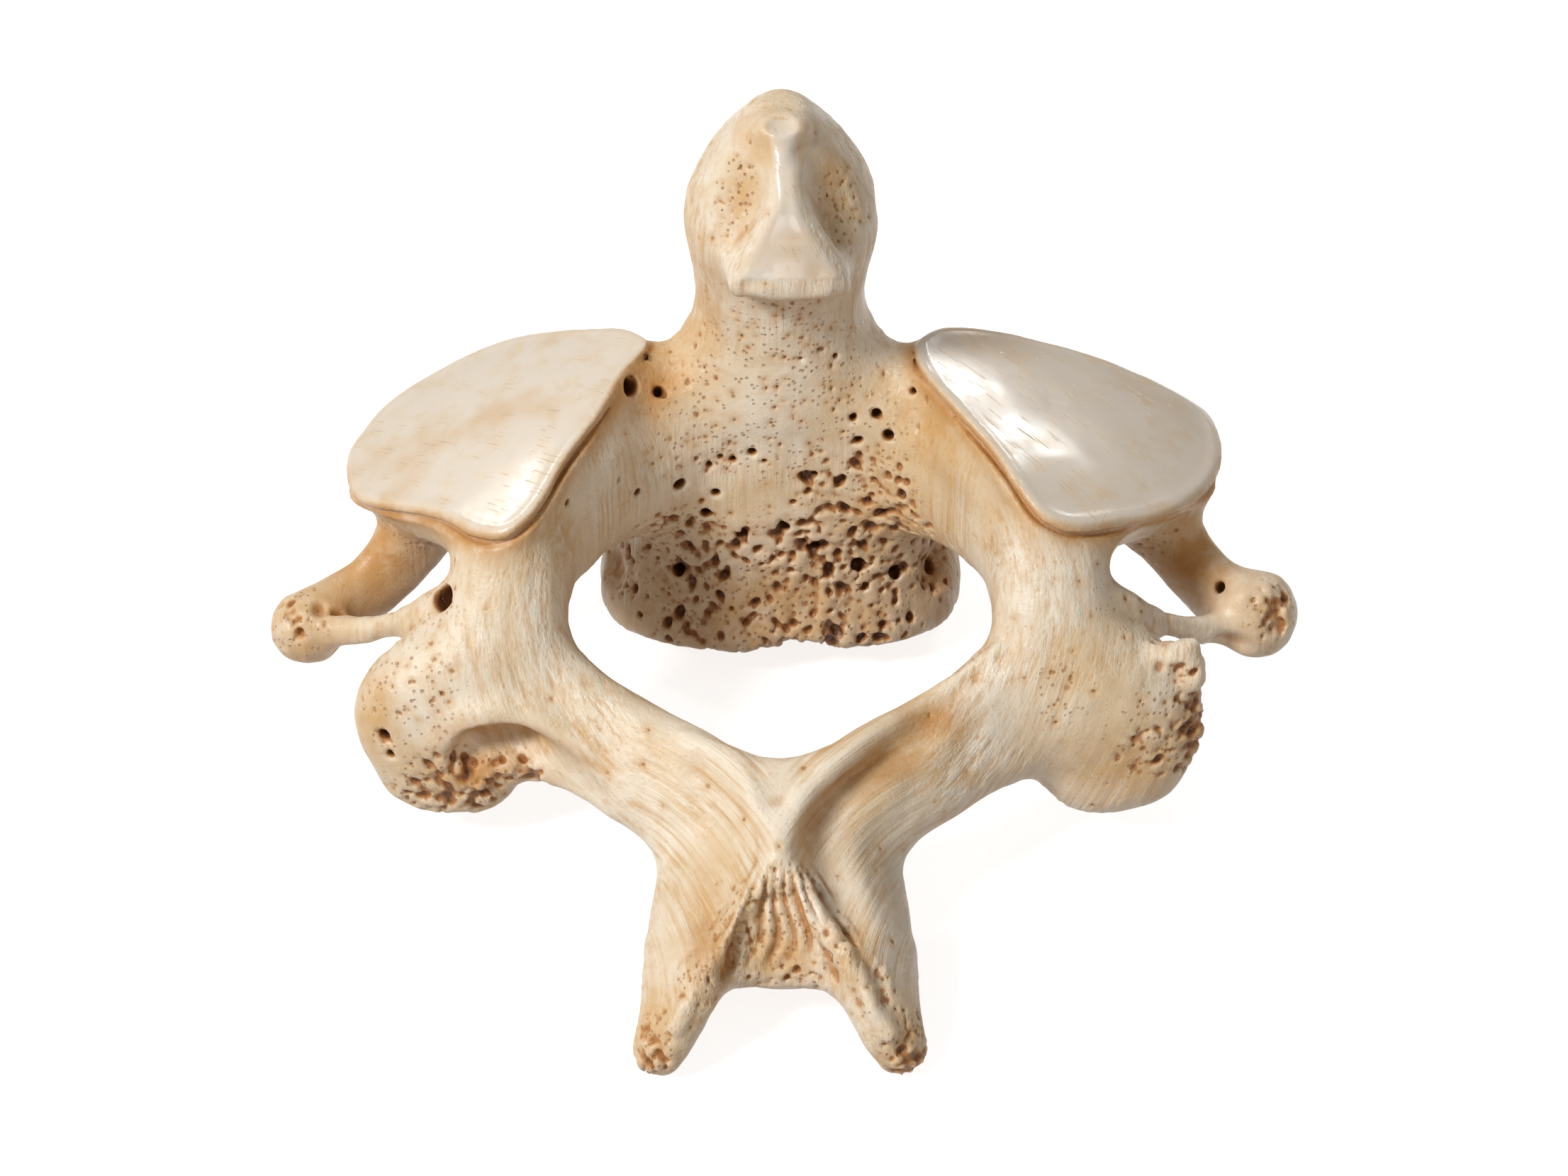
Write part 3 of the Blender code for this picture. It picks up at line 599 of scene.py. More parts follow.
WALL = [
    (0, 8.6, 6.9, 9.6, 4.0, 5.2), (5.0, 9.4, 12.8, 3.8, 3.0, 3.6), (-6.0, 9.4, 9.0, 3.4, 3.0, 4.0),
    (9.8, 11.4, 6.6, 2.0, 2.4, 2.6), (-9.9, 11.6, 6.4, 1.8, 2.2, 2.4),
]
CRUMBLED = [
    (-18.6, -5.4, 5.0, 3.4, 2.6, 2.6), (-16.2, -5.4, 6.0, 3.0, 2.0, 1.6), (20.6, -4.6, 7.6, 1.9, 1.4, 1.7),
    (23.0, -3.6, 8.2, 1.6, 3.0, 3.2), (22.2, -1.4, 11.6, 1.6, 2.0, 1.2), (-7.2, -22.3, 2.2, 1.7, 2.0, 2.4),
    (7.0, -22.3, 2.2, 1.7, 2.0, 2.4), (-27.9, 4.6, 10.0, 1.1, 1.3, 1.2), (27.9, 3.6, 10.2, 1.6, 1.9, 2.1),
    (0.0, 15.0, 0.0, 8.0, 5.2, 1.8), (0.2, -19.3, 4.4, 2.4, 0.9, 0.8),
]
LATTICE = [
    (-18.4, -5.6, 5.2, 3.2, 2.4, 2.0), (-15.4, -5.6, 5.9, 2.6, 1.8, 1.2), (23.4, -3.4, 7.6, 1.0, 2.6, 2.8),
    (-7.2, -23.2, 1.6, 1.2, 1.2, 1.6), (7.0, -23.2, 1.6, 1.2, 1.2, 1.6), (28.2, 3.4, 10.6, 1.2, 1.5, 1.6),
]
WEB = [
    (0.1, -16.8, 7.2, 2.6, 3.0, 2.6), (-2.6, -18.4, 6.6, 1.2, 1.8, 1.8), (-4.4, -20.2, 5.2, 1.2, 1.8, 1.8),
    (3.0, -18.6, 6.4, 1.2, 1.8, 1.8), (4.8, -20.4, 5.0, 1.2, 1.6, 1.6),
]
FLANKS = [
    (-2.6, 11.8, 34.2, 1.2, 1.8, 3.0), (3.4, 12.2, 33.6, 1.2, 1.8, 3.0), (0.6, 9.8, 27.8, 2.0, 1.4, 1.0),
]
SPECKLED = [
    (-20.6, -3.4, 10.2, 3.4, 3.2, 3.4), (-17.5, 0.5, 12.6, 2.6, 2.4, 3.0), (17.4, 0.5, 12.6, 2.6, 2.4, 3.0),
    (0, 10.0, 22.0, 8.0, 3.0, 4.6), (0, 10.0, 17.4, 8.6, 2.4, 2.6), (20.6, -4.0, 8.6, 2.6, 2.4, 3.0),
    (15.5, -3.0, 11.0, 2.2, 2.0, 2.0), (0, 20.6, 10.0, 9.0, 4.0, 8.0), (-20.5, 8.8, 13.4, 2.2, 2.4, 2.0),
    (20.8, 8.8, 13.0, 2.4, 2.4, 2.4), (-27.4, 4.4, 8.8, 2.2, 2.2, 2.2), (0.4, 9.6, 27.6, 3.0, 2.0, 1.8),
]
# The joint face on the front of the dens, which is polished like the upper ones.
DENS_FRONT = (0.0, 20.6, 31.6, 3.2, 2.6, 4.2)
# Where the crust shows hardly any fibres, and where it shows few.
PLAIN = [
    (-25.0, 6.6, 9.4, 5.4, 4.4, 5.0), (25.4, 6.2, 9.6, 5.0, 4.4, 5.2), (0, 9.0, 7.0, 11.0, 4.0, 8.0),
    (0, 10.0, 20.0, 8.0, 4.0, 5.0), (0, 13.0, 35.5, 5.0, 4.0, 3.0), (0, 15.0, 0.0, 10.0, 8.0, 2.0),
]
SMOOTH = [
    (-16.0, 1.0, 12.5, 5.5, 5.0, 5.5), (-19.5, -3.4, 9.5, 5.0, 3.6, 5.0), (16.4, 1.0, 12.5, 4.6, 5.0, 5.5),
    (19.5, -4.0, 8.0, 5.0, 4.0, 5.0), (0.5, 8.6, 29.4, 4.0, 1.4, 1.5),
]
MASKS = {
    "wall": WALL, "crumbled": CRUMBLED, "lattice": LATTICE, "web": WEB, "flanks": FLANKS, "speckled": SPECKLED,
}


def grain_way(points):
    """The way in which the fibres of the bone run at each point."""
    x, y, z = points.T
    way = np.tile([0.0, 0.15, 1.0], (len(points), 1))
    way[:, 0] = 0.9 * np.sin(1.7 * x + 2.3 * np.sin(0.9 * z)) * (y > 6) * (z < 16)
    behind = y < -2
    way[behind] = [0.0, -0.8, -0.45]
    way[behind, 0] = -0.5 * np.sign(x[behind])
    return way


def face_mask(points):
    """1 on the polished joint faces and the nose, 0 elsewhere."""
    shine = np.zeros(len(points))
    for side in (LEFT, RIGHT):
        edge, above = face_measures(side, *points.T)
        shine = np.maximum(shine, np.clip(-edge / 0.3, 0, 1) * np.clip((above + 0.9) / 0.3, 0, 1))
    edge, above = nose_measures(*points.T)
    up = (points - NOSE_MIDDLE) @ NOSE_UP
    nose = np.clip(-edge / 0.3 + 0.2, 0, 1) * np.clip((above + 0.7) / 0.3, 0, 1) * (points[:, 1] < 13.6)
    nose = nose * np.clip((up - LIP) / 0.3 + 1, 0, 1)
    nose = np.maximum(nose, patches(points, [DENS_FRONT], 0.9, 1.0) * (points[:, 1] > 17.5))
    return np.maximum(shine, nose)


def plain_mesh(name, points, faces):
    mesh = bpy.data.meshes.new(name)
    mesh.vertices.add(len(points))
    mesh.vertices.foreach_set("co", np.asarray(points, np.float32).ravel())
    faces = np.asarray(faces, np.int32)
    mesh.loops.add(faces.size)
    mesh.loops.foreach_set("vertex_index", faces.ravel())
    mesh.polygons.add(len(faces))
    mesh.polygons.foreach_set("loop_start", np.arange(0, faces.size, faces.shape[1], dtype=np.int32))
    mesh.update(calc_edges=True)
    return mesh


def keep_values(mesh, name, values):
    """Stores one number, or one vector, for each point of the mesh."""
    values = np.asarray(values, np.float32)
    kind, field = ("FLOAT", "value") if values.ndim == 1 else ("FLOAT_VECTOR", "vector")
    mesh.attributes.new(name, kind, "POINT").data.foreach_set(field, values.ravel())


points, quads = clay.skin()
bed = placed("pore_bed", plain_mesh("pore_bed", points, quads))
bare = 1 - face_mask(points)
for name, eggs in MASKS.items():
    keep_values(bed.data, name, patches(points, eggs) * bare)
keep_values(bed.data, "everywhere", bare)
keep_values(bed.data, "grain", grain_way(points))
print("pore bed:", len(points), "points")

# %% [markdown]
# ## Pits by the thousand
# The pits follow the surface and repeat, so Geometry Nodes scatter them: points no closer than a
# spacing, thinned by a mask, each with a small egg that stands on the skin and runs with the grain.
# The tree ends in a plain mesh of eggs, which is carved from the clay in one go.

# %% The scatter tree
def node_of(tree, kind, at, **values):
    node = tree.nodes.new(kind)
    node.location = at
    for key, value in values.items():
        setattr(node, key, value)
    return node


def pit_tree():
    """Geometry Nodes that stand small eggs on a skin."""
    tree = bpy.data.node_groups.new("pit_scatter", "GeometryNodeTree")
    face = tree.interface
    face.new_socket("Skin", in_out="INPUT", socket_type="NodeSocketGeometry")
    face.new_socket("Mask", in_out="INPUT", socket_type="NodeSocketString")
    for name in ("Spacing", "Density", "Smallest", "Largest", "Stretch", "Depth"):
        face.new_socket(name, in_out="INPUT", socket_type="NodeSocketFloat")
    face.new_socket("Seed", in_out="INPUT", socket_type="NodeSocketInt")
    face.new_socket("Finish", in_out="INPUT", socket_type="NodeSocketMaterial")
    face.new_socket("Pits", in_out="OUTPUT", socket_type="NodeSocketGeometry")
    given = node_of(tree, "NodeGroupInput", (-900, 0))
    mask = node_of(tree, "GeometryNodeInputNamedAttribute", (-700, -200), data_type="FLOAT")
    grain = node_of(tree, "GeometryNodeInputNamedAttribute", (-700, -400), data_type="FLOAT_VECTOR")
    grain.inputs["Name"].default_value = "grain"
    spread = node_of(tree, "GeometryNodeDistributePointsOnFaces", (-500, 0), distribute_method="POISSON")
    along = node_of(tree, "FunctionNodeAlignRotationToVector", (-300, -200), axis="Y", pivot_axis="Z")
    size = node_of(tree, "FunctionNodeRandomValue", (-500, -500), data_type="FLOAT")
    long = node_of(tree, "FunctionNodeRandomValue", (-500, -700), data_type="FLOAT")
    deep = node_of(tree, "ShaderNodeMath", (-300, -700), operation="MULTIPLY")
    stretch = node_of(tree, "ShaderNodeMath", (-300, -500), operation="MULTIPLY")
    sizes = node_of(tree, "ShaderNodeCombineXYZ", (-100, -500))
    ball = node_of(tree, "GeometryNodeMeshIcoSphere", (-300, 200))
    ball.inputs["Radius"].default_value = 1.0
    ball.inputs["Subdivisions"].default_value = 2
    stand = node_of(tree, "GeometryNodeInstanceOnPoints", (100, 0))
    real = node_of(tree, "GeometryNodeRealizeInstances", (300, 0))
    paint = node_of(tree, "GeometryNodeSetMaterial", (500, 0))
    done = node_of(tree, "NodeGroupOutput", (700, 0))
    long.inputs[2].default_value = 1.0
    for source, output, target, socket in (
        (given, "Skin", spread, "Mesh"),
        (given, "Mask", mask, "Name"),
        (mask, "Attribute", spread, "Density Factor"),
        (given, "Spacing", spread, "Distance Min"),
        (given, "Density", spread, "Density Max"),
        (given, "Seed", spread, "Seed"),
        (spread, "Rotation", along, "Rotation"),
        (grain, "Attribute", along, "Vector"),
        (given, "Seed", size, "Seed"),
        (given, "Seed", long, "Seed"),
        (given, "Smallest", size, 2),
        (given, "Largest", size, 3),
        (given, "Stretch", long, 3),
        (size, 1, stretch, 0),
        (long, 1, stretch, 1),
        (size, 1, deep, 0),
        (given, "Depth", deep, 1),
        (size, 1, sizes, "X"),
        (stretch, 0, sizes, "Y"),
        (deep, 0, sizes, "Z"),
        (spread, "Points", stand, "Points"),
        (ball, "Mesh", stand, "Instance"),
        (along, "Rotation", stand, "Rotation"),
        (sizes, "Vector", stand, "Scale"),
        (stand, "Instances", real, "Geometry"),
        (real, "Geometry", paint, "Geometry"),
        (given, "Finish", paint, "Material"),
        (paint, "Geometry", done, "Pits"),
    ):
        tree.links.new(source.outputs[output], target.inputs[socket])
    return tree


def nodes_mesh(tree, carrier, inputs):
    """The plain mesh that a Geometry Nodes tree makes of an object with these inputs."""
    modifier = carrier.modifiers.new("nodes", "NODES")
    modifier.node_group = tree
    for item in tree.interface.items_tree:
        if item.in_out == "INPUT" and item.name in inputs:
            modifier[item.identifier] = inputs[item.name]
    graph = bpy.context.evaluated_depsgraph_get()
    mesh = bpy.data.meshes.new_from_object(carrier.evaluated_get(graph))
    carrier.modifiers.remove(modifier)
    return mesh


def mesh_arrays(mesh):
    """Points and triangles of a mesh."""
    mesh.calc_loop_triangles()
    points = np.empty(len(mesh.vertices) * 3, np.float32)
    mesh.vertices.foreach_get("co", points)
    triangles = np.empty(len(mesh.loop_triangles) * 3, np.int32)
    mesh.loop_triangles.foreach_get("vertices", triangles)
    return points.reshape(-1, 3), triangles.reshape(-1, 3)


pore_tree = pit_tree()
pit_finish = bpy.data.materials.new("pit_lining")
print("scatter tree:", len(pore_tree.nodes), "nodes")

# %% Scatter the pits and carve them
PIT_BAND = 3
BALL_TRIANGLES = 80
# mask, spacing, density per square mm, smallest and largest radius, stretch and depth, seed
PIT_KINDS = [
    ("wall", 0.90, 0.7, 0.20, 0.36, 1.8, 2.1, 3),
    ("wall", 0.50, 1.8, 0.14, 0.22, 2.0, 2.2, 41),
    ("wall", 0.32, 4.0, 0.09, 0.14, 1.5, 1.8, 11),
    ("lattice", 0.56, 3.6, 0.20, 0.32, 1.5, 1.7, 47),
    ("crumbled", 0.70, 1.2, 0.14, 0.30, 1.6, 1.7, 5),
    ("crumbled", 0.34, 4.5, 0.10, 0.17, 1.4, 1.7, 17),
    ("web", 0.50, 1.2, 0.10, 0.16, 2.0, 1.8, 23),
    ("web", 0.32, 3.0, 0.08, 0.11, 1.5, 1.8, 43),
    ("flanks", 0.30, 5.0, 0.08, 0.12, 1.5, 2.0, 29),
    ("speckled", 0.50, 1.0, 0.09, 0.15, 1.5, 1.8, 31),
    ("everywhere", 1.30, 0.07, 0.07, 0.13, 1.5, 1.8, 37),
]
pit_points, pit_triangles, count = [], [], 0
PIT_INPUTS = ("Mask", "Spacing", "Density", "Smallest", "Largest", "Stretch", "Depth", "Seed")
for kind in PIT_KINDS:
    mesh = nodes_mesh(pore_tree, bed, {**dict(zip(PIT_INPUTS, kind)), "Finish": pit_finish})
    where, triangles = mesh_arrays(mesh)
    pit_points.append(where)
    pit_triangles.append(triangles + count)
    count += len(where)
    print("pits in", kind[0], "about", len(triangles) // BALL_TRIANGLES)
    bpy.data.meshes.remove(mesh)
bpy.data.objects.remove(bed)
grid = distance_grid(np.vstack(pit_points), VOXEL, PIT_BAND, triangles=np.vstack(pit_triangles))
pits = np.full(clay.dist.shape, PIT_BAND * VOXEL, np.float32)
grid.copyToArray(pits, ijk=tuple(int(i) for i in clay.start))
near = np.nonzero((pits < (PIT_BAND - 0.1) * VOXEL) & (clay.dist < 2 * VOXEL))
clay.dist[near] = -soft_min(-clay.dist[near], pits[near], 0.1)
print("pits carved in", len(near[0]), "voxels")

# %% [markdown]
# ## The skin and its fine relief
# The skin is peeled from the clay as quads.  What is finer than a voxel can carry is pushed along the
# skin's normals: low swells everywhere, fibres that run with the grain, ripples on the back wall and a
# lumpy texture where the bone is spongy.  The noise is a table of random numbers read smoothly.

# %% Relief
ARCH_END = 4.5  # how far forward the arch's fibres run


def lattice_noise(points, seed, size=32):
    """Smooth random values between -1 and 1, one wave to a unit, the same at every run."""
    table = np.random.default_rng(seed).uniform(-1, 1, (size, size, size))
    i = np.floor(points).astype(int)
    f = points - i
    f = f * f * (3 - 2 * f)
    value = np.zeros(len(points))
    for corner in np.ndindex(2, 2, 2):
        share = np.prod(np.where(corner, f, 1 - f), axis=1)
        value += share * table[tuple(((i + corner) % size).T)]
    return value


def photo_height(points):
    """How high a point stands in the photo, in mm above the picture's middle."""
    return 0.731 * points[:, 2] + 0.682 * points[:, 1] - 11.35


def flow_of(points):
    """Coordinates in mm with the grain and across it, in two sets, and how far the second one holds."""
    x, y, z = points.T
    side = np.where(x < 0, LEFT, RIGHT)
    up = photo_height(points)
    ring = np.column_stack([np.arctan2(x, -up - 1) * 11.0, np.hypot(x, up + 1), 0.4 * y])
    upright = np.where((y < ARCH_END)[:, None], ring, np.column_stack([z + 0.2 * y, x, y]))
    a, b = side * x - 12.8, up + 21.7
    round_arch = np.column_stack([np.arctan2(b, -a) * 9.0, np.hypot(a, b), 0.5 * z])
    share = np.clip((1.0 - y) / 4.0, 0, 1) * np.clip((9.5 - np.abs(x)) / 4.0, 0, 1)
    return upright, round_arch, share


def corner_normals(points, quads):
    a, b, c, d = (points[quads[:, k]] for k in range(4))
    normal = np.cross(c - a, d - b)
    total = np.column_stack([
        sum(np.bincount(quads[:, k], normal[:, axis], len(points)) for k in range(4)) for axis in range(3)
    ])
    return total / np.maximum(np.linalg.norm(total, axis=1), 1e-9)[:, None]


points, quads = clay.skin()
points = relaxed(points, quads, 1, 0.4, -0.3)
depth = np.clip(-clay.read(bare_dist, points), 0, None)
halo = np.clip(1 - clay.read(pits, points) / (PIT_BAND * VOXEL), 0, 1)
shine = face_mask(points)
masks = {name: patches(points, eggs) for name, eggs in MASKS.items()}
spongy = np.maximum.reduce([masks["wall"], masks["crumbled"], masks["web"]])
bare = 1 - shine
upright, round_arch, share = flow_of(points)
# How strongly the fibres show: less on worn bone, at the midline and beside the joint faces.
combed = 1 - 0.9 * patches(points, PLAIN, 0.5, 1.3) - 0.72 * patches(points, SMOOTH, 0.5, 1.2)
combed = np.clip(combed, 0.05, 1)
combed = combed * np.clip(0.8 + 0.8 * lattice_noise(points / 2.6, 21), 0.3, 1)
combed = combed * np.where(points[:, 1] < 0, np.clip(np.abs(points[:, 0]) / 1.3, 0.2, 1), 1)
combed = combed * np.clip(np.abs(points[:, 1] - ARCH_END) / 1.2, 0, 1) * np.clip(points[:, 2] / 1.5, 0, 1)
for side in (LEFT, RIGHT):
    edge, above = face_measures(side, *points.T)
    combed = combed * (1 - 0.9 * np.exp(-((np.hypot(edge, 0.6 * above) / 1.1) ** 2)))


def fibres(across, along, seed):
    """Noise drawn out along the grain."""
    a = lattice_noise(upright * (along, across, across), seed)
    b = lattice_noise(round_arch * (along, across, across), seed + 1)
    return a * (1 - share) + b * share


def folds():
    """Folds that fan out downwards from the crest's end, for the web between the branches."""
    x = points[:, 0]
    down = -photo_height(points) - 12.6
    fan = np.arctan2(x + 0.1, np.maximum(down, 0.3))
    wander = lattice_noise(np.column_stack([6 * fan, 0.5 * down, 0 * x]), 51)
    return np.sin(44 * fan + 2.2 * wander) * np.clip((down - 1.5) / 2, 0, 1)


swell = lattice_noise(points / 3.1, 1) + 0.6 * lattice_noise(points / 1.5, 2)
lumps = lattice_noise(points / 0.95, 3) + 0.3 * lattice_noise(points / 0.45, 4)
relief = 0.09 * swell * (0.2 + 0.8 * bare)
relief += bare * combed * (0.05 * fibres(1.4, 0.06, 5) + 0.045 * fibres(3.3, 0.08, 7))
relief += bare * np.maximum(spongy - 0.75 * masks["web"], 0) * 0.12 * lumps
relief += masks["wall"] * np.clip((9.0 - points[:, 2]) / 4.0, 0, 1) * 0.18 * fibres(1.5, 0.2, 9)
relief += masks["web"] * (0.15 * folds() + 0.05 * lumps)
normals = corner_normals(points, quads)
points = points + normals * (relief * np.clip(1 - depth / 0.25, 0.2, 1))[:, None]
points[:, 2] = np.maximum(points[:, 2], 0.0)
print("skin:", len(points), "points", len(quads), "quads; relief up to", round(float(np.abs(relief).max()), 2), "mm")

# %% [markdown]
# ## What the finish needs to know
# Hollows and creases are painted darker as shade, and what stands out is made paler.  So each point
# gets a few numbers: how deep it lies in a pit, how sunken it is among its neighbours near and far,
# which carries the painted shade, how tan its part of the bone is, from stains and in some patches
# painted shade, and how polished.  The material reads these numbers, and noise that is laid out in
# the bone's own coordinates.

# %% Values for the finish
# Tan patches: mostly stains, but some are painted shade: on the lower right process, in the scoop under the curled
# rim, under the ridge of the right lamina, beside the left branch of the fork and under the lip of the nose.
TAN = [
    (20.0, -4.4, 6.4, 4.4, 2.6, 3.2), (-23.4, 7.6, 11.0, 3.0, 3.0, 3.4), (23.6, 7.6, 11.0, 2.8, 3.0, 3.4),
    (-27.2, 4.8, 8.2, 3.0, 3.2, 3.0), (27.4, 4.6, 9.2, 2.6, 3.0, 3.4), (0, 8.6, 5.0, 11.5, 4.0, 6.0),
    (6.0, 9.6, 12.0, 4.0, 3.0, 5.0), (-17.6, -5.8, 6.2, 4.6, 2.6, 2.8), (23.4, -3.6, 7.6, 2.2, 3.4, 4.0),
    (-3.2, -18.4, 6.6, 1.8, 3.0, 2.6), (3.8, -19.0, 6.4, 1.6, 3.0, 2.6), (-7.0, -22.0, 2.4, 1.9, 2.2, 2.6),
    (7.0, -22.0, 2.4, 1.9, 2.2, 2.6), (-2.2, 11.6, 34.2, 1.0, 1.8, 3.0), (2.6, 12.0, 34.4, 1.0, 1.8, 2.4),
    (-0.2, 13.6, 36.6, 2.6, 2.0, 1.2), (-4.8, 13.5, 25.5, 1.8, 4.0, 4.6), (0.6, 9.4, 28.6, 3.4, 1.8, 1.3),
    (0, 15.0, 0.0, 11.0, 7.5, 2.6), (-6.2, 11.4, 21.6, 2.2, 2.4, 2.4), (8.6, 8.6, 19.6, 2.4, 3.4, 2.8),
    (3.4, -11.2, 10.2, 1.6, 2.6, 1.2), (6.6, -8.0, 10.6, 3.4, 1.9, 1.0), (1.6, -14.0, 9.4, 0.9, 2.6, 1.4),
    (-15.4, -5.4, 9.2, 3.4, 1.8, 1.0), (-3.9, -17.6, 7.4, 1.2, 3.6, 1.6), (0, -18.6, 5.6, 2.2, 1.4, 2.4),
    (-22.4, -3.4, 9.4, 1.2, 2.4, 3.6), (21.6, -3.6, 6.0, 2.6, 2.4, 2.0),
]
# Rust patches: partly stains and partly painted shade: under the ridge of the right lamina, in the scoop under the
# curled rim, in the lower corners of the body, under the lip of the nose and in the big hole by the left joint face.
RUST_AND_SHADE = [
    (-23.0, 7.4, 11.4, 3.2, 3.0, 2.4), (-25.2, 5.2, 8.4, 2.4, 1.8, 1.2), (23.4, 7.2, 11.4, 2.4, 2.6, 2.2),
    (5.4, -8.8, 10.3, 3.6, 1.5, 1.0), (8.6, -5.9, 11.1, 2.4, 1.3, 1.1), (2.2, -12.2, 9.6, 1.1, 2.4, 1.0),
    (-15.6, -5.0, 9.4, 2.8, 1.6, 1.0), (0.5, 8.6, 29.0, 3.2, 1.2, 0.7), (-3.8, -19.0, 5.8, 0.9, 2.2, 1.4),
    (-16.6, -5.4, 6.4, 2.2, 1.0, 1.2), (-7.1, 11.2, 20.2, 1.4, 2.0, 2.6), (-18.7, 0.6, 14.0, 0.8, 1.0, 0.8),
    (9.6, 11.6, 5.4, 1.4, 2.4, 2.4), (23.6, -3.0, 6.6, 0.9, 2.0, 2.4), (-10.2, 12.0, 5.4, 1.0, 2.0, 2.0),
]


def sunken(points, quads, rounds):
    """How far each point lies below the mean of its surroundings, in mm."""
    mean, around = mean_of(quads, len(points)), points
    for _ in range(rounds):
        around = mean(around)
    return ((around - points) * normals).sum(axis=1)


# Crease and dip tell how sunken the skin is; the finish paints shade from them.
normals = corner_normals(points, quads)
crease = sunken(points, quads, 5)
dip = sunken(points, quads, 50)
tan, rust_and_shade = patches(points, TAN, 0.3, 1.4), patches(points, RUST_AND_SHADE, 0.2, 1.5)
# A tan and rust line under each joint face's rim: partly stain, partly painted shade under the overhang.
for side in (LEFT, RIGHT):
    edge, above = face_measures(side, *points.T)
    under = np.hypot(edge + 0.1, 0.7 * (above + FACE_THICKNESS + 0.2))
    tan = np.maximum(tan, 1.3 * np.exp(-((under / 0.8) ** 2)))
    rust_and_shade = np.maximum(rust_and_shade, 1.1 * np.exp(-((under / 0.5) ** 2)))
specks = np.maximum.reduce([0.6 * masks["speckled"], masks["flanks"], 0.7 * spongy])
values = {
    "pore": np.clip(depth / 0.48, 0, 1),
    "halo": halo * bare,
    "crease": np.clip(crease / 0.06, -1, 1),
    "dip": np.clip(dip / 0.35, -1, 1),
    "tan": np.clip(tan, 0, 1),
    "rust_and_shade": np.clip(rust_and_shade, 0, 1) * (1 - shine),
    "polish": shine,
    "dots": np.clip(0.12 + specks, 0, 1) * bare,
    "upright": upright,
    "round_arch": round_arch,
    "arch_share": share,
    "combed": combed,
}
print("deepest pit", round(float(depth.max()), 2), "mm; tan on", int((tan > 0.5).sum()), "points")

# %% [markdown]
# ## Bone as a material
# Dry bone is a warm ivory, whiter where the crust is thick and orange-brown where oil and soil stayed
# in the pores.  The colour is built in that order: a mottled ivory, tan stains with painted shade in
# hollows and creases, the fine dots of pores too small to model, and in the pits brown stain that turns
# to a near-black painted shadow at their bottoms.  The joint faces share the colours but are paler
# and polished.  The fibres of the crust are fine ridges that only the bump can carry.

# %% Bone finish
class Paint:
    """A small hand for building a material's nodes."""

    def __init__(self, name):
        self.material = bpy.data.materials.new(name)
        self.material.use_nodes = True
        self.tree = self.material.node_tree
        self.shader = self.tree.nodes["Principled BSDF"]
        self.place = 0

    def node(self, kind, **values):
        self.place += 1
        node = self.tree.nodes.new(kind)
        node.location = (-1800 + 180 * (self.place % 9), 400 - 220 * (self.place // 9))
        for key, value in values.items():
            setattr(node, key, value)
        return node

    def plug(self, socket, value):
        if isinstance(value, bpy.types.NodeSocket):
            self.tree.links.new(value, socket)
        else:
            socket.default_value = value

    def value(self, name):
        return self.node("ShaderNodeAttribute", attribute_name=name).outputs["Fac"]

    def vector(self, name):
        return self.node("ShaderNodeAttribute", attribute_name=name).outputs["Vector"]

    def math(self, operation, a, b):
        node = self.node("ShaderNodeMath", operation=operation)
        self.plug(node.inputs[0], a)
        self.plug(node.inputs[1], b)
        return node.outputs[0]

    def times(self, first, *others):
        for other in others:
            first = self.math("MULTIPLY", first, other)
        return first

    def rest_of(self, share):
        return self.math("SUBTRACT", 1.0, share)

    def ramp(self, value, low, high, to_low=0.0, to_high=1.0):
        node = self.node("ShaderNodeMapRange", interpolation_type="SMOOTHSTEP")
        self.plug(node.inputs["Value"], value)
        for name, number in (("From Min", low), ("From Max", high), ("To Min", to_low), ("To Max", to_high)):
            self.plug(node.inputs[name], number)
        return node.outputs["Result"]

    def mix(self, share, a, b, blend="MIX"):
        node = self.node("ShaderNodeMix", data_type="RGBA", blend_type=blend)
        self.plug(node.inputs[0], share)
        self.plug(node.inputs[6], a)
        self.plug(node.inputs[7], b)
        return node.outputs[2]

    def noise(self, where, scale, detail=3.0, roughness=0.55):
        node = self.node("ShaderNodeTexNoise")
        self.plug(node.inputs["Vector"], where)
        self.plug(node.inputs["Scale"], scale)
        self.plug(node.inputs["Detail"], detail)
        self.plug(node.inputs["Roughness"], roughness)
        return node.outputs["Fac"]

    def scaled(self, vector, by):
        node = self.node("ShaderNodeVectorMath", operation="MULTIPLY")
        self.plug(node.inputs[0], vector)
        node.inputs[1].default_value = by
        return node.outputs[0]

    def turned(self, vector, degrees):
        node = self.node("ShaderNodeMapping")
        self.plug(node.inputs["Vector"], vector)
        node.inputs["Rotation"].default_value[2] = radians(degrees)
        return node.outputs[0]

    def channel(self, colour, number):
        split = self.node("ShaderNodeSeparateColor")
        self.plug(split.inputs[0], colour)
        return split.outputs[number]

    def dots(self, where, scale, kept, radius=0.24):
        """Round dots in a share of the cells of a Voronoi pattern."""
        cells = self.node("ShaderNodeTexVoronoi", feature="F1")
        self.plug(cells.inputs["Vector"], where)
        cells.inputs["Scale"].default_value = scale
        chosen = self.math("GREATER_THAN", self.channel(cells.outputs["Color"], 0), 1 - kept)
        spot = self.ramp(cells.outputs["Distance"], radius + 0.08, radius - 0.06)
        return self.math("MULTIPLY", spot, chosen)


IVORY = (0.75, 0.59, 0.385, 1)
PALE = (0.90, 0.81, 0.67, 1)
STAIN_AND_SHADE = (0.64, 0.37, 0.13, 1)
OCHRE = (0.54, 0.26, 0.07, 1)
AMBER = (0.40, 0.155, 0.034, 1)
PIT_SHADOW = (0.095, 0.03, 0.008, 1)
PEARL = (0.80, 0.72, 0.62, 1)


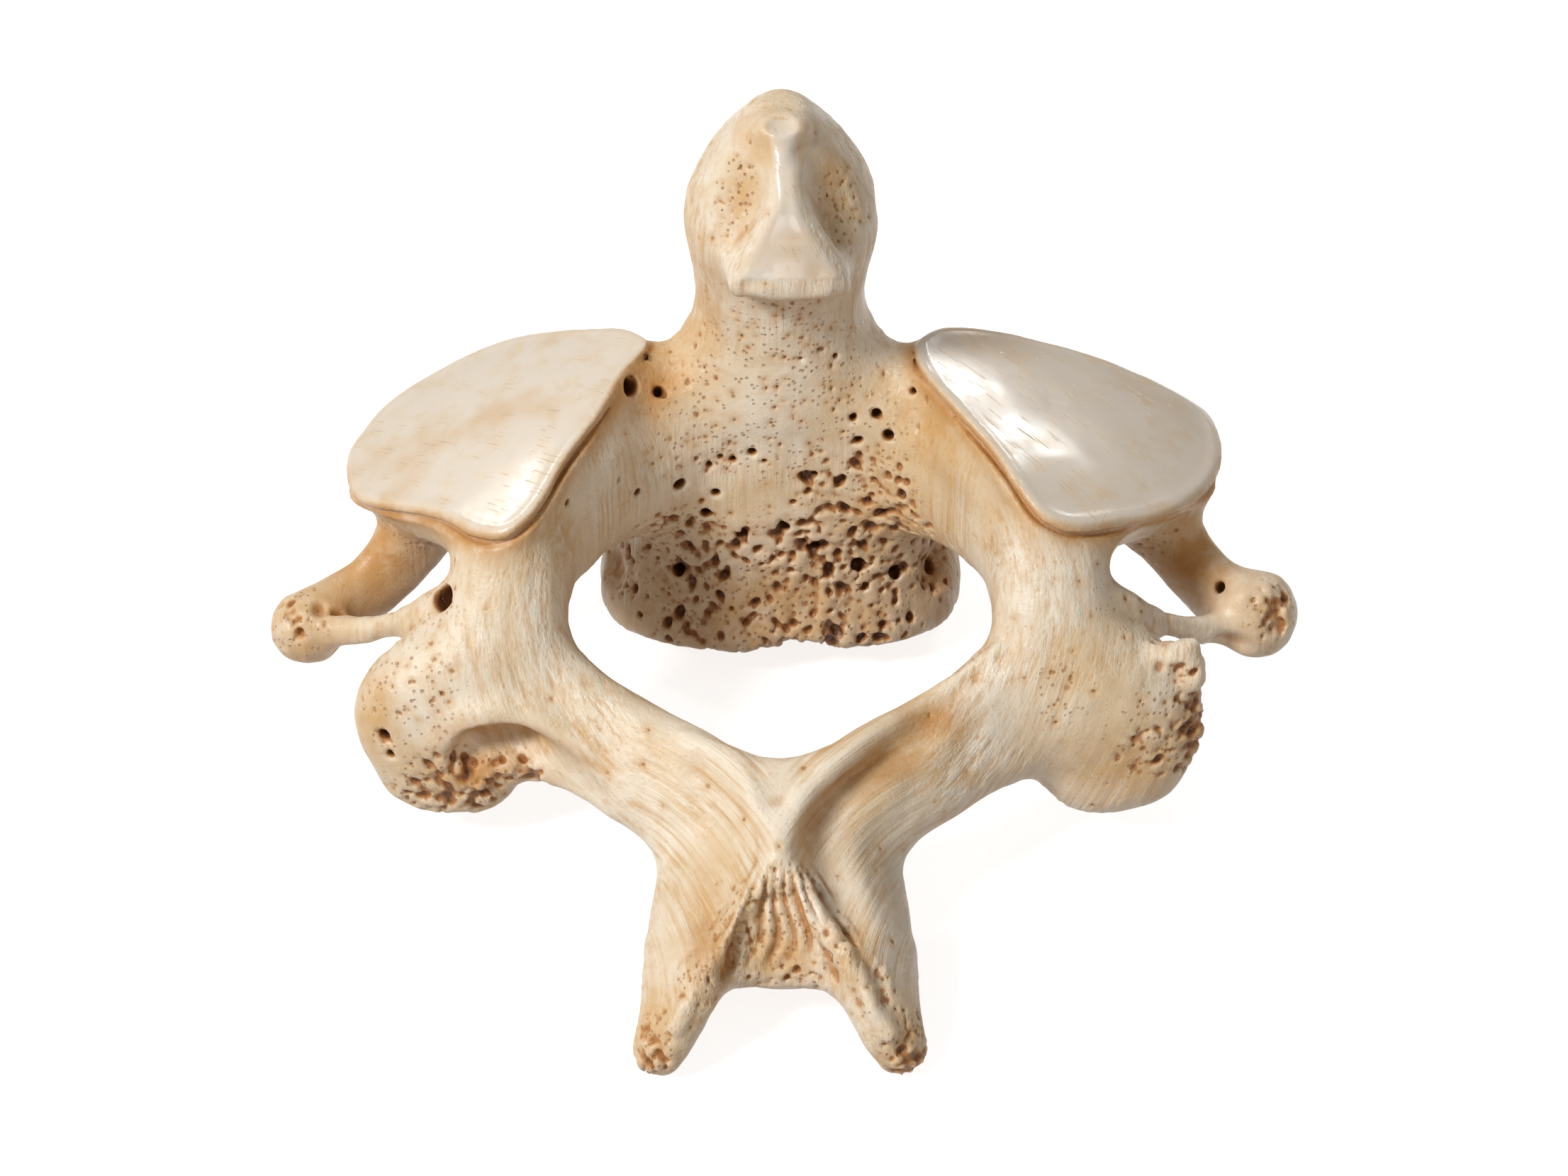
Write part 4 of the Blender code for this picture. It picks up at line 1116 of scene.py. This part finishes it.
def bone_finish():
    """Mottled ivory with stains, painted shade in hollows and pits, pores and polished faces, on numbers kept at the
    points.
    """
    p = Paint("dry_bone")
    place = p.node("ShaderNodeTexCoord").outputs["Object"]
    polish, tan, pore, halo = p.value("polish"), p.value("tan"), p.value("pore"), p.value("halo")
    crease, dip, dotted, arch = p.value("crease"), p.value("dip"), p.value("dots"), p.value("arch_share")
    combed = p.value("combed")
    bare, not_arch = p.rest_of(polish), p.rest_of(arch)
    broad = p.noise(place, 160.0, 3.0)
    cloud = p.noise(place, 650.0, 4.0, 0.6)
    grit = p.noise(place, 4200.0, 3.0, 0.6)

    def threads(along, across):
        """Lines that run with the grain, in both of its coordinates."""
        both = []
        for name, share in (("upright", not_arch), ("round_arch", arch)):
            lines = p.noise(p.scaled(p.vector(name), (along, across, across)), 1.0, 3.0, 0.6)
            both.append(p.times(lines, share))
        return p.math("ADD", *both)

    # Ivory, mottled and lined along the grain, and pale where it stands out.
    fine, coarse = threads(0.10, 3.8), threads(0.06, 1.3)
    lined = p.times(bare, combed)
    colour = p.mix(p.ramp(broad, 0.35, 0.65), IVORY, PALE)
    colour = p.mix(p.ramp(cloud, 0.45, 0.75, 0.0, 0.30), colour, STAIN_AND_SHADE)
    colour = p.mix(p.times(p.ramp(fine, 0.47, 0.68, 0.0, 0.65), lined), colour, STAIN_AND_SHADE)
    colour = p.mix(p.times(p.ramp(coarse, 0.48, 0.66, 0.0, 0.5), lined), colour, STAIN_AND_SHADE)
    colour = p.mix(p.times(p.ramp(fine, 0.46, 0.30, 0.0, 0.5), combed), colour, PALE)
    colour = p.mix(p.ramp(crease, 0.0, -1.0, 0.0, 0.55), colour, PALE)

    # Tan stains with rust in their middles, some of both painted shade, and painted shade in brown where the skin
    # lies sunken.
    stain_and_shade_share = p.times(tan, p.ramp(cloud, 0.25, 0.6, 0.35, 1.0), 0.8)
    # Painted shade: sunken skin turns towards the stain colour.
    stain_and_shade_share = p.math("MAXIMUM", stain_and_shade_share, p.ramp(dip, 0.05, 0.8, 0.0, 0.85))
    stain_and_shade_share = p.math("MAXIMUM", stain_and_shade_share, p.times(halo, 0.45))
    colour = p.mix(p.times(stain_and_shade_share, p.rest_of(p.times(polish, 0.85))), colour, STAIN_AND_SHADE)
    # Rust-coloured patches: stains, and painted shade in the recesses listed with them.
    rust_and_shade = p.times(p.value("rust_and_shade"), p.ramp(cloud, 0.3, 0.65, 0.4, 0.95))
    colour = p.mix(rust_and_shade, colour, OCHRE)
    # Painted shade in amber, in hollows and in creases.
    shade = p.math("MAXIMUM", p.ramp(dip, 0.35, 1.0, 0.0, 0.6), p.ramp(crease, 0.1, 0.9, 0.0, 0.7))
    colour = p.mix(p.times(shade, bare), colour, AMBER)

    # Pores too small to model, strewn about and in rows along the grain.
    big, small = p.dots(place, 1800.0, 0.22, 0.17), p.dots(place, 3000.0, 0.45, 0.26)
    spots = p.times(p.math("MAXIMUM", big, p.times(small, 0.8)), dotted)
    colour = p.mix(p.times(spots, 0.9), colour, AMBER)
    rows = p.times(p.dots(p.scaled(p.vector("upright"), (2.0, 2.6, 0.0)), 1.0, 0.6, 0.2), combed, not_arch)
    colour = p.mix(p.times(rows, p.ramp(cloud, 0.4, 0.6, 0.1, 0.55)), colour, OCHRE)

    # The polished faces over all that, and the pits last: brown, partly stain and partly painted shade, and near
    # black at their bottoms as painted shadow.
    pearl = p.mix(p.ramp(cloud, 0.4, 0.75, 0.0, 0.55), PEARL, IVORY)
    pearl = p.mix(p.ramp(broad, 0.48, 0.75, 0.0, 0.45), pearl, STAIN_AND_SHADE)
    colour = p.mix(p.times(polish, 0.92), colour, pearl)
    colour = p.mix(p.ramp(pore, 0.15, 0.55, 0.0, 0.9), colour, AMBER)
    # Painted shadow: near black at the bottom of the pits.
    colour = p.mix(p.ramp(pore, 0.45, 1.0, 0.0, 0.9), colour, PIT_SHADOW)
    p.plug(p.shader.inputs["Base Color"], colour)

    # Fine scratches dull the polish here and there.
    scratches = p.noise(p.scaled(p.turned(place, 38), (350.0, 9000.0, 900.0)), 1.0, 2.0, 0.5)
    scratches = p.times(p.ramp(scratches, 0.62, 0.70), p.ramp(cloud, 0.45, 0.6))
    rough = p.ramp(cloud, 0.3, 0.7, 0.36, 0.52)
    smooth = p.math("ADD", p.ramp(cloud, 0.3, 0.7, 0.13, 0.24), p.times(scratches, 0.14))
    blend = p.node("ShaderNodeMix", data_type="FLOAT")
    for socket, value in zip((blend.inputs[0], blend.inputs[2], blend.inputs[3]), (polish, rough, smooth)):
        p.plug(socket, value)
    p.plug(p.shader.inputs["Roughness"], blend.outputs[0])

    # The bump carries fibres, grit, dots and scratches.
    height = p.math("ADD", p.times(fine, combed, -1.3), p.times(grit, 0.35))
    height = p.math("SUBTRACT", p.times(height, bare), p.times(spots, 0.9))
    height = p.math("SUBTRACT", height, p.times(scratches, polish, 0.25))
    bump = p.node("ShaderNodeBump")
    bump.inputs["Strength"].default_value = 0.8
    bump.inputs["Distance"].default_value = 0.00013
    p.plug(bump.inputs["Height"], height)
    p.plug(p.shader.inputs["Normal"], bump.outputs["Normal"])
    p.shader.inputs["Specular IOR Level"].default_value = 0.5
    return p.material


dry_bone = bone_finish()
print("dry bone:", len(dry_bone.node_tree.nodes), "nodes")

# %% [markdown]
# ## Pieces
# A mesh past 200,000 triangles is unwieldy, so the one skin is shared out among a few pieces along
# lines deep in the bone.  Both sides of a line keep the same points and the same normals, so it can't
# be seen.  Each piece is closed where it was parted, by a lid that lies a little way inside the bone.

# %% Share the skin out
def region_of(points):
    """The piece that each point belongs to, by number."""
    x, y, z = points.T
    out = np.abs(x)
    body = (y > 4) & (0.974 * out + 0.227 * z < 12.34)
    arch = (y <= 4) & (0.9 * out + 0.44 * y < 5.0)
    number = np.where(x < 0, 0, 1)
    number[arch] = 2
    number[arch & (0.89 * (y + 12.8) + 0.45 * (z - 7.0) < 0)] = 3
    number[body] = 4
    number[body & (z > 22.8)] = 5
    return number


PIECES = [  # the name, and the solids that it stands for
    ("left_side", ["lateral_mass_left", "articular_process_left", "transverse_process_left"]),
    ("right_side", ["lateral_mass_right", "articular_process_right", "transverse_process_right"]),
    ("arch", ["lamina_left", "lamina_right"]),
    ("forked_spine", ["spinous_process"]),
    ("body", ["centrum"]),
    ("dens_with_nose", ["dens"]),
]


def as_triangles(points, quads):
    """Each quad as two triangles, parted along its shorter diagonal."""
    a, b, c, d = quads.T
    first = np.linalg.norm(points[a] - points[c], axis=1) <= np.linalg.norm(points[b] - points[d], axis=1)
    one = np.where(first[:, None], np.column_stack([a, b, c]), np.column_stack([a, b, d]))
    two = np.where(first[:, None], np.column_stack([a, c, d]), np.column_stack([b, c, d]))
    return np.vstack([one, two])


LID_DEPTH = 0.25  # how far under the skin a lid lies


def lids(triangles, count, deep):
    """Triangles that close every open loop by a collar that goes inwards and a lid across it.

    The collar's inner points come after the piece's own: the second list tells which one each follows.
    """
    ends = np.vstack([triangles[:, [0, 1]], triangles[:, [1, 2]], triangles[:, [2, 0]]])
    forward = ends[:, 0] * count + ends[:, 1]
    open_ends = ends[~np.isin(forward, ends[:, 1] * count + ends[:, 0])]
    following = {}
    for a, b in open_ends:
        following.setdefault(int(b), []).append(int(a))
    extra, rim = [], []
    while following:
        start = next(iter(following))
        loop, here = [start], start
        while True:
            there = following[here].pop()
            if not following[here]:
                del following[here]
            if there == start:
                break
            loop.append(there)
            here = there
        inner = count + len(rim) + np.arange(len(loop))
        rim.extend(loop)
        for k in range(len(loop)):
            extra += [(loop[k - 1], loop[k], inner[k]), (loop[k - 1], inner[k], inner[k - 1])]
        corners = [Vector(deep[k]) for k in loop]
        around = sum((a.cross(b) for a, b in zip(corners, corners[1:] + corners[:1])), Vector())
        for a, b, c in tessellate_polygon([corners]):
            p, q, r = corners[a], corners[b], corners[c]
            if (q - p).cross(r - p).dot(around) < 0:
                b, c = c, b
            extra.append((inner[a], inner[b], inner[c]))
    return np.array(extra, int).reshape(-1, 3), np.array(rim, int)


def make_piece(name, nodes, chosen):
    """One piece of the skin, with its normals and the numbers for its finish."""
    used = np.unique(chosen)
    index = np.full(len(points), -1)
    index[used] = np.arange(len(used))
    triangles = index[chosen]
    deep = points[used] - LID_DEPTH * normals[used]
    caps, rim = lids(triangles, len(used), deep)
    places = np.vstack([points[used], deep[rim]])
    mesh = plain_mesh(name, (places + MIDLINE) * MM, np.vstack([triangles, caps]))
    used = np.concatenate([used, used[rim]])
    for key, value in values.items():
        keep_values(mesh, key, value[used])
    mesh.shade_smooth()
    mesh.normals_split_custom_set_from_vertices(normals[used])
    mesh.materials.append(dry_bone)
    piece = placed(name, mesh)
    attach(piece, "root")
    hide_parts(*nodes)
    print("piece", name, len(mesh.polygons), "triangles,", len(caps), "of them in lids")


triangles = as_triangles(points, quads)
owner = region_of(points[triangles].mean(axis=1))
for number, (name, nodes) in enumerate(PIECES):
    make_piece(name, nodes, triangles[owner == number])

# %% [markdown]
# ## Table, light and camera
# The photograph looks down on the bone from behind, against white, with a soft light from the upper
# left.  Three small lamps beyond the bone draw the gleam on the joint faces, and a low one on the
# camera's side lights the nose's lip.  The long lens keeps the sides of the bone almost parallel.

# %% Stage
BONE_MIDDLE = Vector((0, 0, 0.015))
TABLE_REACH = 1.5


def area_light(name, way, distance, size, power, colour=(1, 1, 1)):
    """A square lamp that looks at the bone from one direction."""
    lamp = bpy.data.lights.new(name, "AREA")
    lamp.size, lamp.energy, lamp.color = size, power, colour
    holder = placed(name, lamp)
    way = Vector(way).normalized()
    holder.location = BONE_MIDDLE + way * distance
    holder.rotation_euler = way.to_track_quat("Z", "Y").to_euler()


def pale_table():
    """A wide white top that the lamps and the sky light evenly."""
    mesh = bpy.data.meshes.new("table_top")
    corners = [(x * TABLE_REACH, y * TABLE_REACH, 0) for x, y in ((-1, -1), (1, -1), (1, 1), (-1, 1))]
    mesh.from_pydata(corners, [], [(0, 1, 2, 3)])
    finish = bpy.data.materials.new("table_paint")
    finish.use_nodes = True
    shader = finish.node_tree.nodes["Principled BSDF"]
    shader.inputs["Base Color"].default_value = (0.7, 0.7, 0.7, 1)
    shader.inputs["Roughness"].default_value = 0.9
    shader.inputs["Specular IOR Level"].default_value = 0.1
    shader.inputs["Emission Color"].default_value = (1, 1, 1, 1)
    shader.inputs["Emission Strength"].default_value = 0.8
    mesh.materials.append(finish)
    table = placed("table_top", mesh)
    table.visible_diffuse = False


pale_table()
area_light("key", (-0.60, -0.36, 0.72), 0.55, 0.12, 2.35, (1.0, 0.975, 0.94))
area_light("fill", (0.7, -0.6, 0.45), 0.6, 0.3, 0.1)
area_light("gleam_left", (-0.53, 0.555, 0.64), 0.5, 0.07, 0.24)
area_light("gleam_right", (0.37, 0.80, 0.46), 0.5, 0.055, 0.2)
area_light("gleam_outer", (0.49, 0.71, 0.51), 0.5, 0.05, 0.16)
area_light("gleam_nose", (-0.05, -0.98, 0.08), 0.5, 0.14, 0.3)


def studio_sky():
    """White above, and dimmer and warm below, as light is that has passed through bone and table."""
    sky = bpy.data.worlds.new("studio")
    sky.use_nodes = True
    tree = sky.node_tree
    way = tree.nodes.new("ShaderNodeTexCoord")
    split = tree.nodes.new("ShaderNodeSeparateXYZ")
    level = tree.nodes.new("ShaderNodeMapRange")
    for name, value in (("From Min", -0.3), ("From Max", 0.4)):
        level.inputs[name].default_value = value
    tint = tree.nodes.new("ShaderNodeMix")
    tint.data_type = "RGBA"
    tint.inputs[6].default_value = (0.16, 0.105, 0.06, 1)
    tint.inputs[7].default_value = (0.25, 0.245, 0.24, 1)
    tree.links.new(way.outputs["Generated"], split.inputs[0])
    tree.links.new(split.outputs["Z"], level.inputs["Value"])
    tree.links.new(level.outputs["Result"], tint.inputs[0])
    tree.links.new(tint.outputs[2], tree.nodes["Background"].inputs["Color"])
    bpy.context.scene.world = sky


studio_sky()
bpy.context.scene.view_settings.view_transform = "Standard"

# %% Camera
ELEVATION = radians(43)
DISTANCE = 289.2
BACK = Vector((0, -np.cos(ELEVATION), np.sin(ELEVATION)))
TARGET = Vector((0.22, 0.0, 15.53)) + Vector(MIDLINE)
eye = bpy.data.cameras.new("eye")
eye.lens, eye.sensor_width = 120, 36
eye.clip_start, eye.clip_end = 0.01, 20
holder = placed("eye", eye)
holder.location = (TARGET + DISTANCE * BACK) * MM
holder.rotation_euler = BACK.to_track_quat("Z", "Y").to_euler()
bpy.context.scene.camera = holder
